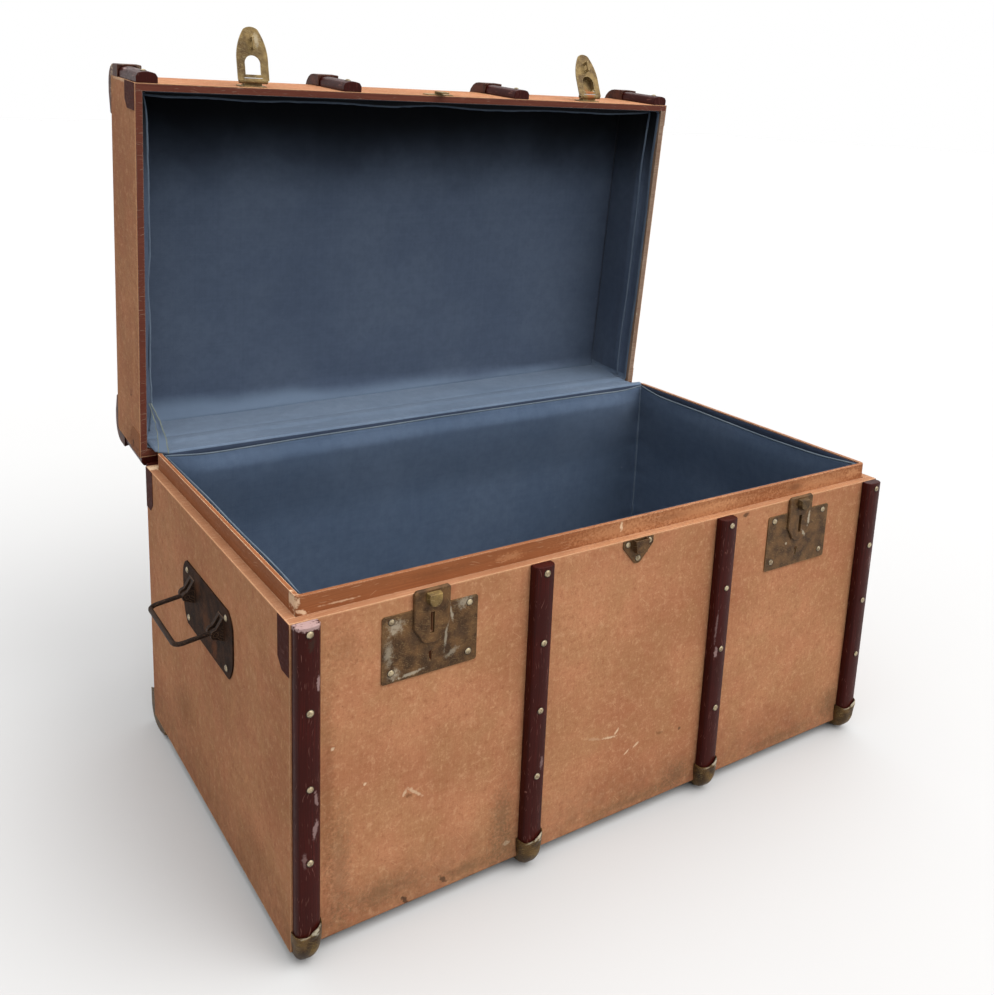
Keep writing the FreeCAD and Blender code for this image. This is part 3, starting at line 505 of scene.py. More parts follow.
class Coat:
    """One material under construction, with its surface shader and shared effects."""

    def __init__(self, name: str, tilt: float = 0.0) -> None:
        """Make the material.

        Args:
            name: The material's name.
            tilt: How far the piece is turned about x from where its faces lie square.
        """
        self.material = bpy.data.materials.new(name)
        self.material.use_nodes = True
        self.wires = Wires(self.material.node_tree)
        self.shader = self.material.node_tree.nodes["Principled BSDF"]
        self.faces = self.effect(Effect.FACE_PLACE, {"Tilt": tilt}).outputs
        self.flat = self.faces["Flat"]
        self.place = self.faces["Place"]

    def effect(self, effect: Effect, feeds: dict) -> bpy.types.Node:
        """Place a shared effect in this material, with what goes into its inputs by name."""
        return self.wires.add("Group", feeds, node_tree=shared(effect))

    def mottle(self, size: float, shift: Sequence[float] | None = None) -> tuple[Socket, ...]:
        """Broad and fine blotches, from a place of their own where a shift is given."""
        place = self.wires.shift("ADD", self.place, shift) if shift else self.place
        return tuple(self.effect(Effect.MOTTLE, {"Place": place, "Size": size}).outputs)

    def mask(self, effect: Effect, values: Spots | Strokes) -> Socket:
        """Where spots or strokes lie on the face."""
        start = {"Flat": self.flat} if effect is Effect.SCRATCHES else {"Place": self.place}
        return self.effect(effect, {**start, **values.feeds()}).outputs["Mask"]

    def rubbed(self, reach: float, ragged: float) -> Socket:
        """Where edges are rubbed."""
        feeds = {"Place": self.place, "Reach": reach, "Ragged": ragged}
        return self.effect(Effect.EDGE_WEAR, feeds).outputs["Mask"]

    def weave(self, pitch: float, uneven: float) -> tuple[Socket, ...]:
        """A weave's height and the tone of its threads."""
        return tuple(self.effect(Effect.WEAVE, {"Flat": self.flat, "Pitch": pitch, "Uneven": uneven}).outputs)

    def marked(self, colour: Feed, marks: Iterable[Mark]) -> Feed:
        """Lay single marks over a colour, each only in front of its limit.

        Args:
            colour: The colour below.
            marks: The marks.

        Returns:
            The colour with its marks.
        """
        w = self.wires
        x, y, _ = w.parts(self.place)
        ragged = w.clouds(self.place, 260.0, 3.0, 0.7)
        halves: dict[tuple[Side, float], Socket] = {}
        for mark in marks:
            key = (mark.side, mark.limit)
            if key not in halves:
                halves[key] = w.calc("LESS_THAN", y if mark.side is Side.FRONT else x, mark.limit)
            mask = self.effect(Effect.MARK, {
                "Flat": self.faces[mark.side.value], "Ragged": ragged, "Along": mark.along, "Up": mark.up,
                "Turn": mark.turn, "Long": mark.long, "Wide": mark.wide, "Soft": mark.soft}).outputs["Mask"]
            share = w.times(mask, w.times(halves[key], mark.strength))
            colour = w.mix(share, colour, mark.ink)
        return colour

    def finish(self, colour: Feed, roughness: Feed, height: Feed | None = None, depth: float = 0.2 * MM,
               **constants: float) -> Material:
        """Join the surface.

        Args:
            colour: Base colour.
            roughness: Roughness.
            height: Height for the bump, or none.
            depth: How deep the bump is, in metres.
            **constants: Plain values for the shader's other sockets, with _ for a space.

        Returns:
            The material.
        """
        w = self.wires
        w.feed(self.shader.inputs["Base Color"], colour)
        w.feed(self.shader.inputs["Roughness"], roughness)
        if height is not None:
            bump = w.add("Bump", {"Height": height, "Distance": depth, "Strength": 1.0})
            w.feed(self.shader.inputs["Normal"], bump.outputs["Normal"])
        for key, value in constants.items():
            self.shader.inputs[key.replace("_", " ")].default_value = value
        return self.material


# Finishes


@dataclass(frozen=True)
class CanvasFinish:
    """Varnished canvas: a faint weave, blotches, upright streaks, soil, specks and rubbed edges."""

    name: str
    tilt: float
    soil_low: float
    soil_high: float
    marks: tuple[Mark, ...] = ()
    tan: Colour = srgb(194, 133, 96)
    deep: Colour = srgb(160, 99, 68)
    olive: Colour = srgb(170, 124, 84)
    rub: Colour = srgb(216, 170, 130)
    soil: Colour = srgb(80, 58, 44)
    pitch: float = 1.0 * MM
    uneven: float = 0.6
    blotch_size: float = 140 * MM
    patch_size: float = 45 * MM
    patch_shift: tuple[float, float, float] = (0.37, 0.21, 0.53)
    grime_shift: tuple[float, float, float] = (1.3, 0.7, 2.1)
    grime_scale: float = 95.0
    streak_wide: float = 2.6 * MM
    streak_long: float = 13 * MM
    pale_spots: Spots = Spots(28 * MM, 0.15, 0.055)
    dark_spots: Spots = Spots(34 * MM, 0.2, 0.045)
    grit: Spots = Spots(8.5 * MM, 0.22, 0.1)
    scratches: Strokes = Strokes(0.9, 30 * MM, 1.1 * MM, 0.2)
    rubbed_reach: float = 3.2 * MM
    ragged: float = 0.7
    bump: float = 0.36 * MM
    gloss: tuple[float, float] = (0.6, 0.8)
    shine: float = 0.08

    def paint(self) -> Material:
        """Build the material.

        Returns:
            The canvas's material.
        """
        coat = Coat(self.name, self.tilt)
        w = coat.wires
        blotch, soiling = coat.mottle(self.blotch_size)
        patch, fine = coat.mottle(self.patch_size, self.patch_shift)
        weave, thread = coat.weave(self.pitch, self.uneven)
        streak = coat.effect(Effect.GRAIN, {"Flat": coat.flat, "Turn": UPRIGHT, "Fine": self.streak_wide,
                                            "Long": self.streak_long}).outputs["Fibre"]
        grime_and_painted_shade = w.clouds(w.shift("ADD", coat.place, self.grime_shift), self.grime_scale, 6.0, 0.75)
        low = w.reach(w.parts(coat.place)[2], self.soil_high, self.soil_low)
        soil = w.times(low, w.reach(soiling, 0.25, 0.75, 0.25, 1.0))
        colour = w.layered(self.tan, (
            (w.times(blotch, 0.8), self.deep),
            (w.times(patch, 0.55), self.olive),
            (w.reach(streak, 0.55, 0.82, 0.0, 0.34), self.rub),
            (w.reach(streak, 0.46, 0.2, 0.0, 0.3), self.deep),
            (w.reach(grime_and_painted_shade, 0.51, 0.68, 0.0, 0.4), self.rub),
            (w.reach(grime_and_painted_shade, 0.48, 0.3, 0.0, 0.8), self.deep),
            (w.reach(fine, 0.53, 0.72, 0.0, 0.42), self.rub),
            (w.reach(fine, 0.47, 0.27, 0.0, 0.6), self.deep),
            (w.reach(weave, 0.45, 0.05, 0.0, 0.2), self.soil),
            (w.times(thread, 0.1), self.rub),
            (w.times(soil, 0.42), self.soil),
            (w.times(coat.mask(Effect.SPECKS, self.pale_spots), 0.7), self.rub),
            (w.times(coat.mask(Effect.SPECKS, self.dark_spots), 0.65), self.soil),
            (w.times(coat.mask(Effect.SPECKS, self.grit), 0.4), self.soil),
            (w.times(coat.mask(Effect.SCRATCHES, self.scratches), 0.45), self.rub),
        ))
        colour = coat.marked(colour, self.marks)
        colour = w.mix(w.times(coat.rubbed(self.rubbed_reach, self.ragged), 0.8), colour, self.rub)
        relief = w.plus(w.times(fine, 0.9), w.times(streak, 0.5))
        height = w.plus(w.times(weave, 0.6), relief)
        rough = w.reach(fine, 0.3, 0.7, *self.gloss)
        return coat.finish(colour, rough, height, self.bump, Specular_IOR_Level=self.shine)


@dataclass(frozen=True)
class VarnishedWood:
    """Dark varnish over wood, with fibres, nicks, scratches and rubbed edges."""

    name: str
    tilt: float
    base: Colour
    light: Colour
    rub: Colour
    grain_turn: float
    edge: float
    scratch: float
    gloss: tuple[float, float]
    reach: float = 1.6 * MM
    ragged: float = 0.8
    shine: float = 0.16
    marks: tuple[Mark, ...] = ()
    blotch_size: float = 50 * MM
    nicks: Spots = Spots(20 * MM, 0.2, 0.07)
    line_long: float = 18 * MM
    line_wide: float = 0.9 * MM
    line_share: float = 0.32
    bump: float = 0.12 * MM

    def paint(self) -> Material:
        """Build the material.

        Returns:
            The wood's material.
        """
        coat = Coat(self.name, self.tilt)
        w = coat.wires
        blotch, fine = coat.mottle(self.blotch_size)
        fibre = coat.effect(Effect.GRAIN, {"Flat": coat.flat, "Turn": self.grain_turn}).outputs["Fibre"]
        lines = Strokes(self.grain_turn, self.line_long, self.line_wide, self.line_share)
        colour = w.layered(self.base, (
            (w.reach(fibre, 0.35, 0.75), self.light),
            (w.times(blotch, 0.55), self.base),
            (w.times(coat.mask(Effect.SPECKS, self.nicks), self.scratch), self.rub),
            (w.times(coat.mask(Effect.SCRATCHES, lines), self.scratch), self.rub),
            (w.times(coat.rubbed(self.reach, self.ragged), self.edge), self.rub),
        ))
        colour = coat.marked(colour, self.marks)
        rough = w.reach(fine, 0.3, 0.7, *self.gloss)
        height = w.plus(w.times(fibre, 0.5), fine)
        return coat.finish(colour, rough, height, self.bump, Specular_IOR_Level=self.shine)


@dataclass(frozen=True)
class WornMetal:
    """Old sheet metal: lacquer or tarnish, pits, stains and bright rubbed edges."""

    name: str
    tilt: float
    base: Colour
    stain: Colour
    bright: Colour
    metallic: float
    gloss: tuple[float, float]
    edge: float = 0.8
    pits: float = 0.6
    blotch_size: float = 16 * MM
    shine: float = 0.35
    marks: tuple[Mark, ...] = ()
    holes: Spots = Spots(6 * MM, 0.3, 0.14)
    scratches: Strokes = Strokes(0.5, 12 * MM, 0.6 * MM, 0.4)
    rubbed_reach: float = 1.1 * MM
    ragged: float = 0.55
    bump: float = 0.12 * MM

    def paint(self) -> Material:
        """Build the material.

        Returns:
            The metal's material.
        """
        coat = Coat(self.name, self.tilt)
        w = coat.wires
        blotch, fine = coat.mottle(self.blotch_size)
        holes = coat.mask(Effect.SPECKS, self.holes)
        colour = w.layered(self.base, (
            (blotch, self.stain),
            (w.reach(fine, 0.52, 0.75, 0.0, 0.6), self.bright),
            (w.reach(fine, 0.42, 0.25, 0.0, 0.6), self.stain),
            (w.times(holes, self.pits), self.stain),
            (w.times(coat.mask(Effect.SCRATCHES, self.scratches), 0.5), self.bright),
            (w.times(coat.rubbed(self.rubbed_reach, self.ragged), self.edge), self.bright),
        ))
        colour = coat.marked(colour, self.marks)
        rough = w.reach(fine, 0.3, 0.7, *self.gloss)
        height = w.minus(fine, w.times(holes, 0.8))
        return coat.finish(colour, rough, height, self.bump, Metallic=self.metallic,
                           Specular_IOR_Level=self.shine)


@dataclass(frozen=True)
class LiningFinish:
    """Blue-grey lining cloth: a fine weave, faded patches, lint, painted shade that darkens it towards the
    front and a painted lighter band at the back.
    """

    name: str
    tilt: float
    blue: Colour = srgb(72, 84, 104)
    faded: Colour = srgb(90, 102, 120)
    shade: Colour = srgb(46, 56, 74)
    # Painted shade: between these two places in y the cloth darkens towards the front, standing in for the
    # shadow under the open lid's front wall; by default they lie far off
    grime_and_painted_shade: tuple[float, float] = (-FAR, 1 - FAR)
    # Where the painted lighter band along the back starts; by default it lies far off
    painted_light_from: float = FAR
    lint_colour: Colour = srgb(176, 184, 190)
    # The colour that the painted shade darkens to
    shade_black: Colour = srgb(5, 6, 7)
    # Painted light: the lighter tone of a band along the back of the lid's lining, which faces up when the
    # lid is open
    painted_light: Colour = srgb(104, 120, 140)
    pitch: float = 0.62 * MM
    uneven: float = 0.8
    blotch_size: float = 160 * MM
    lint: Spots = Spots(30 * MM, 0.12, 0.03)
    grime_sway: float = 20 * MM
    # How the painted lighter band leans with x, how wavy its edge is and how far it takes to reach full
    # strength
    painted_light_slope: float = 0.04
    painted_light_sway: float = 30 * MM
    painted_light_run: float = 24 * MM
    bump: float = 0.14 * MM
    roughness: float = 0.92
    sheen: float = 0.06
    shine: float = 0.1

    def paint(self) -> Material:
        """Build the material.

        Returns:
            The lining's material.
        """
        coat = Coat(self.name, self.tilt)
        w = coat.wires
        blotch, fine = coat.mottle(self.blotch_size)
        weave, thread = coat.weave(self.pitch, self.uneven)
        x, y, _ = w.parts(coat.place)
        # Painted shade: the darkening towards the front, with blotchy edges
        dark, clean = self.grime_and_painted_shade
        depth = w.plus(y, w.times(w.minus(blotch, 0.5), self.grime_sway))
        # Painted light: a lighter band along the back, leaning a little with x and wavy at its edge
        ripple = w.times(w.minus(w.clouds(coat.place, 7.0, 1.5, 0.5), 0.5), self.painted_light_sway)
        painted_light_line = w.plus(ripple, w.minus(y, w.times(x, self.painted_light_slope)))
        colour = w.layered(self.blue, (
            (w.times(blotch, 0.5), self.faded),
            (w.reach(fine, 0.3, 0.7, 0.0, 0.25), self.shade),
            (w.reach(weave, 0.45, 0.05, 0.0, 0.4), self.shade),
            (w.times(thread, 0.22), self.faded),
            (w.times(coat.mask(Effect.SPECKS, self.lint), 0.5), self.lint_colour),
            # Painted shade under the open lid's front wall
            (w.reach(depth, clean, dark, 0.0, 0.96), self.shade_black),
            # Painted light along the back
            (w.reach(painted_light_line, self.painted_light_from, self.painted_light_from + self.painted_light_run, 0.0, 0.75), self.painted_light),
        ))
        height = w.plus(weave, w.times(fine, 1.2))
        return coat.finish(colour, self.roughness, height, self.bump, Sheen_Weight=self.sheen,
                           Specular_IOR_Level=self.shine)


# Mesh making


def from_bmesh(name: str, shape: bmesh.types.BMesh, smooth: bool = True) -> Piece:
    """Turn a bmesh into an object.

    Args:
        name: The object's name.
        shape: The bmesh, which is freed.
        smooth: Whether its faces shade smoothly.

    Returns:
        The object.
    """
    bmesh.ops.recalc_face_normals(shape, faces=shape.faces)
    for face in shape.faces:
        face.smooth = smooth
    mesh = bpy.data.meshes.new(name)
    shape.to_mesh(mesh)
    shape.free()
    made = bpy.data.objects.new(name, mesh)
    bpy.context.scene.collection.objects.link(made)
    return made


def cloth_grid(name: str, columns: int, rows: int, place: Callable[[float, float], Vector],
               material: Material, closed: bool = False, gauge: float = 0.7 * MM) -> Piece:
    """A cloth or sheet surface over a grid.

    Args:
        name: The object's name.
        columns: Cells along the first way.
        rows: Cells along the second way.
        place: Gives a point for two shares from 0 to 1.
        material: Its finish.
        closed: Whether the first way runs round to its start.
        gauge: Its thickness.

    Returns:
        The surface with its thickness.
    """
    shape = bmesh.new()
    across = columns if closed else columns + 1
    points = []
    for j in range(rows + 1):
        points.append([shape.verts.new(place(i / columns, j / rows)) for i in range(across)])
    for j in range(rows):
        for i in range(columns):
            k = (i + 1) % across
            shape.faces.new((points[j][i], points[j][k], points[j + 1][k], points[j + 1][i]))
    made = from_bmesh(name, shape)
    made.data.materials.append(material)
    thick = made.modifiers.new("Thickness", "SOLIDIFY")
    thick.thickness = gauge
    thick.offset = 0.0
    return made


def tube(name: str, path: Sequence[Vector], radius: float, material: Material,
         closed: bool = False) -> Piece:
    """A round welt or thread along a path.

    Args:
        name: The object's name.
        path: Points along its middle.
        radius: Its radius.
        material: Its finish.
        closed: Whether it joins its own start.

    Returns:
        The tube.
    """
    shape = bmesh.new()
    rings = []
    count = len(path)
    for i, point in enumerate(path):
        ahead = path[(i + 1) % count] if closed or i + 1 < count else point
        behind = path[i - 1] if closed or i > 0 else point
        way = (ahead - behind).normalized()
        side = way.cross(LEANING).normalized()
        other = way.cross(side)
        ring = []
        for k in range(TUBE_SIDES):
            turn = 2 * math.pi * k / TUBE_SIDES
            ring.append(shape.verts.new(point + (side * math.cos(turn) + other * math.sin(turn)) * radius))
        rings.append(ring)
    for i in range(count if closed else count - 1):
        first, second = rings[i], rings[(i + 1) % count]
        for k in range(TUBE_SIDES):
            m = (k + 1) % TUBE_SIDES
            shape.faces.new((first[k], first[m], second[m], second[k]))
    if not closed:
        shape.faces.new(rings[0])
        shape.faces.new(rings[-1])
    made = from_bmesh(name, shape)
    made.data.materials.append(material)
    return made


def islands(node: str) -> list[list[Vector]]:
    """Find the separate solids of a CAD node.

    Args:
        node: The node's name.

    Returns:
        Each solid's points, with the solids in the mesh's own order.
    """
    mesh = frame["nodes"][node].data
    shape = bmesh.new()
    shape.from_mesh(mesh)
    bmesh.ops.remove_doubles(shape, verts=shape.verts, dist=WELD)
    found = []
    left = set(shape.verts)
    for start in shape.verts:
        if start not in left:
            continue
        left.remove(start)
        group = [start]
        for vert in group:
            for edge in vert.link_edges:
                other = edge.other_vert(vert)
                if other in left:
                    left.remove(other)
                    group.append(other)
        found.append([vert.co.copy() for vert in group])
    shape.free()
    return found


def soften(nodes: Iterable[str], width: float) -> None:
    """Round the hard edges of CAD nodes as they are shown.

    Args:
        nodes: The nodes' names.
        width: The rounding's width.
    """
    for node in nodes:
        piece = frame["nodes"][node]
        mesh = piece.data
        if "custom_normal" in mesh.attributes:
            mesh.attributes.remove(mesh.attributes["custom_normal"])
        for face in mesh.polygons:
            face.use_smooth = True
        weld = piece.modifiers.new("Weld", "WELD")
        weld.merge_threshold = WELD
        flat = piece.modifiers.new("Flat faces", "DECIMATE")
        flat.decimate_type = "DISSOLVE"
        flat.angle_limit = FLAT_ANGLE
        bevel = piece.modifiers.new("Rounded edges", "BEVEL")
        bevel.width = width
        bevel.segments = ROUNDING_STEPS
        bevel.limit_method = "ANGLE"
        bevel.angle_limit = HARD_ANGLE
        bevel.use_clamp_overlap = True
        bevel.harden_normals = False
        even = piece.modifiers.new("Even shading", "WEIGHTED_NORMAL")
        even.weight = LARGE_FACE_WEIGHT


def dress(nodes: Iterable[str], material: Material) -> None:
    """Give CAD nodes a material.

    Args:
        nodes: The nodes' names.
        material: The material.
    """
    for node in nodes:
        mesh = frame["nodes"][node].data
        mesh.materials.clear()
        mesh.materials.append(material)


def wave(x: float, y: float, seed: float) -> float:
    """Smooth noise between about -1 and 1."""
    return noise.noise(Vector((x, y, seed)))


def smooth(share: float) -> float:
    """A soft climb from 0 to 1."""
    share = min(max(share, 0.0), 1.0)
    return share * share * (3 - 2 * share)


# Sub-assemblies


@dataclass
class NailHeads:
    """Domed nail heads that take the place of a node's plain ones."""

    measures: TrunkMeasures
    node: str
    name: str
    body: str
    material: Material
    rim_material: Material
    on_lid: bool = False
    seed: int = 1
    segments: int = 20
    rings: int = 6
    flange_share: float = 1.1
    flange_rise: float = 0.35 * MM
    dome_share: float = 0.9
    dome_rise_share: float = 0.85
    radius_shares: tuple[float, float] = (0.92, 1.04)
    rise_shares: tuple[float, float] = (0.9, 1.05)
    most_tilt: float = 0.07

    def build(self) -> None:
        """Make one piece of all the node's heads, each a little tilted and off its size."""
        rand = random.Random(self.seed)
        shape = bmesh.new()
        heads = islands(self.node)
        for points in heads:
            self.add_head(shape, points, rand)
        made = from_bmesh(self.name, shape)
        made.data.materials.append(self.material)
        made.data.materials.append(self.rim_material)
        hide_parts(self.node)
        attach(made, self.body)
        log.info("piece %s: %d heads", self.name, len(heads))

    def add_head(self, shape: bmesh.types.BMesh, points: list[Vector], rand: random.Random) -> None:
        """Add one head to the mesh.

        Args:
            shape: The mesh that grows.
            points: The plain head's points.
            rand: Source of small differences.
        """
        m = self.measures
        turn = Matrix.Rotation(-m.open_turn, 3, "X") if self.on_lid else Matrix.Identity(3)
        local = [turn.transposed() @ p for p in points]
        low = Vector([min(p[i] for p in local) for i in range(3)])
        high = Vector([max(p[i] for p in local) for i in range(3)])
        size = high - low
        axis = min(range(3), key=lambda i: size[i])
        centre = (low + high) / 2
        middle = turn.transposed() @ m.at(0, 0, m.ledge / 2)
        sign = 1.0 if centre[axis] > middle[axis] else -1.0
        radius = max(size) / 2 * rand.uniform(*self.radius_shares)
        rise = size[axis] * rand.uniform(*self.rise_shares)
        up = Vector([sign if i == axis else 0.0 for i in range(3)])
        foot = centre - up * size[axis] / 2
        lean = rand.uniform(-self.most_tilt, self.most_tilt)
        tilt = Matrix.Rotation(lean, 3, Vector((rand.random(), rand.random(), rand.random())))
        side = up.orthogonal().normalized()
        other = up.cross(side)
        made = []
        for share, height in self.profile(rise):
            ring = []
            for i in range(self.segments):
                angle = 2 * math.pi * i / self.segments
                way = side * math.cos(angle) + other * math.sin(angle)
                point = way * radius * share + up * rise * height
                ring.append(shape.verts.new(turn @ (foot + tilt @ point)))
            made.append(ring)
        top = shape.verts.new(turn @ (foot + tilt @ (up * rise)))
        for step, (first, second) in enumerate(zip(made, made[1:])):
            for i in range(self.segments):
                k = (i + 1) % self.segments
                face = shape.faces.new((first[i], first[k], second[k], second[i]))
                face.material_index = 1 if step < 2 else 0
        for i in range(self.segments):
            shape.faces.new((made[-1][i], made[-1][(i + 1) % self.segments], top))
        shape.faces.new(made[0])

    def profile(self, rise: float) -> list[tuple[float, float]]:
        """A head's outline, from its flange up its dome.

        Args:
            rise: The head's height.

        Returns:
            Shares of its radius and of its height.
        """
        flange = self.flange_rise / rise
        outline = [(self.flange_share, 0.0), (self.flange_share, flange)]
        for k in range(self.rings):
            angle = math.pi / 2 * k / self.rings
            height = flange + math.sin(angle) * self.dome_rise_share
            outline.append((self.dome_share * math.cos(angle), height))
        return outline


@dataclass
class FrontShoe:
    """A bent metal cap over a front slat's lower end: a round toe, a ragged upper edge and a worn bump."""

    measures: TrunkMeasures
    number: int
    material: Material
    half_width: float = 15.3 * MM
    out: float = 16.4 * MM
    drop: float = 12.9 * MM
    toe_back: float = 11 * MM
    toe_up: float = 15 * MM
    foot_end: float = 24 * MM
    tail: float = 51.2 * MM
    tail_drop: float = 5 * MM
    top_low: float = 27.5 * MM
    top_high: float = 35 * MM
    top_ragged: float = 1.2 * MM
    narrowing: float = 0.24
    bump: float = 1.8 * MM
    bump_across: float = 0.4
    bump_half_across: float = 0.3
    bump_below_top: float = 4.5 * MM
    bump_half_height: float = 3.6 * MM
    gauge: float = 1.5 * MM
    squareness: float = 3.4
    toe_squareness: float = 2.5
    dents: float = 0.04
    toe_from: float = 0.36
    toe_to: float = 0.7
    end_from: float = 0.97
    end_lift: float = 0.85
    cells: tuple[int, int] = (28, 46)

    def build(self) -> None:
        """Make the shoe in place of its plain node."""
        node = "body_front_shoe_%d" % self.number
        low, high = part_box(node)
        middle = (low.x + high.x) / 2 - self.measures.origin.x

        def place(u: float, v: float) -> Vector:
            """One point of the metal.

            Args:
                u: Across, from left to right.
                v: From the upper edge to the tail.

            Returns:
                The point in the frame.
            """
            turn = (u - 0.5) * math.pi
            power = 2 / (self.squareness + (self.toe_squareness - self.squareness) * smooth(v / 0.5))
            across = math.copysign(abs(math.sin(turn)) ** power, turn)
            lift = max(math.cos(turn), 0.0) ** power
            outer, anchor = self.run(v, across)
            narrow = 1 - self.narrowing * smooth((v - 0.3) / 0.35)
            lump = 1 + self.dents * wave(across * 2.5 + self.number * 3, v * 9, 6.6)
            point = anchor + (outer - anchor) * lift * lump
            aside = middle + across * self.half_width * narrow
            return self.measures.at(aside, -self.measures.half_depth - point.x, point.y)

        name = "front_shoe_%d" % self.number
        made = cloth_grid(name, *self.cells, place, self.material, gauge=self.gauge)
        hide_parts(node)
        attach(made, "box")
        log.info("piece %s", name)

    def run(self, v: float, across: float) -> tuple[Vector, Vector]:
        """Where the metal runs at one share of its length.

        Args:
            v: From the upper edge, 0, round the toe to the tail, 1.
            across: From the left side, -1, to the right, 1.

        Returns:
            The outermost place and the one on the box behind it, each as distance in front and height.
        """
        if v < self.toe_from:
            return self.upright(v, across)
        if v < self.toe_to:
            share = (v - self.toe_from) / (self.toe_to - self.toe_from)
            turn = math.pi / 2 * (1 - share)
            outer = Vector(((self.out + self.toe_back) * math.sin(turn) - self.toe_back,
                            self.toe_up - (self.toe_up + self.drop) * math.cos(turn)))
            back, height = self.toe_back * max(2 * share - 1, 0), self.toe_up * max(1 - 2 * share, 0)
            return outer, Vector((-back, height))
        share = min((v - self.toe_to) / (self.end_from - self.toe_to), 1.0)
        back = self.toe_back + (self.tail - self.toe_back) * share
        rise = max(back - self.foot_end, 0) / (self.tail - self.foot_end)
        drop = self.drop + (self.tail_drop - self.drop) * rise
        drop *= 1 - self.end_lift * max(v - self.end_from, 0) / (1 - self.end_from)
        return Vector((-back, -drop)), Vector((-back, 0))

    def upright(self, v: float, across: float) -> tuple[Vector, Vector]:
        """The stretch in front of the slat, with its bump.

        Args:
            v: From the upper edge, 0, to the toe.
            across: From the left side, -1, to the right, 1.

        Returns:
            The outermost place and the one on the box behind it, each as distance in front and height.
        """
        top = self.top_low + (self.top_high - self.top_low) * smooth((across + 0.35) / 1.1)
        top += self.top_ragged * wave(across * 4, self.number * 2.3, 2.2)
        height = top + (self.toe_up - top) * v / self.toe_from
        aside = (across - self.bump_across) / self.bump_half_across
        below = (height - top + self.bump_below_top) / self.bump_half_height
        out = self.out + self.bump * math.exp(-aside ** 2 - below ** 2)
        return Vector((out, height)), Vector((0, height))


@dataclass(frozen=True)
class WallLine:
    """The line round four walls with round corners, which a lining follows."""

    half_x: float
    half_y: float
    corner: float

    @property
    def arc(self) -> float:
        """The way round one corner."""
        return math.pi / 2 * self.corner

    @property
    def spans(self) -> list[float]:
        """The straight stretches, from the front left corner on."""
        return [2 * (self.half_x - self.corner), 2 * (self.half_y - self.corner)] * 2

    @property
    def length(self) -> float:
        """The way all round."""
        return sum(self.spans) + 4 * self.arc

    def at(self, share: float) -> tuple[Vector, Vector, float]:
        """A place on the line.

        Args:
            share: How far round, from the front left corner.

        Returns:
            The place, the way inwards and the distance to the nearest corner's middle.
        """
        way = share * self.length
        heading = 0.0
        place = Vector((-self.half_x + self.corner, -self.half_y, 0))
        for span in self.spans:
            forward = Vector((math.cos(heading), math.sin(heading), 0))
            inward = Vector((-forward.y, forward.x, 0))
            if way <= span:
                return place + forward * way, inward, min(way, span - way) + self.arc / 2
            way -= span
            place += forward * span
            if way <= self.arc:
                centre = place + inward * self.corner
                spun = Matrix.Rotation(way / self.corner, 3, "Z") @ inward
                return centre - spun * self.corner, spun, abs(way - self.arc / 2)
            way -= self.arc
            place += (forward + inward) * self.corner
            heading += math.pi / 2
        return place, Vector((0, 1, 0)), 0.0


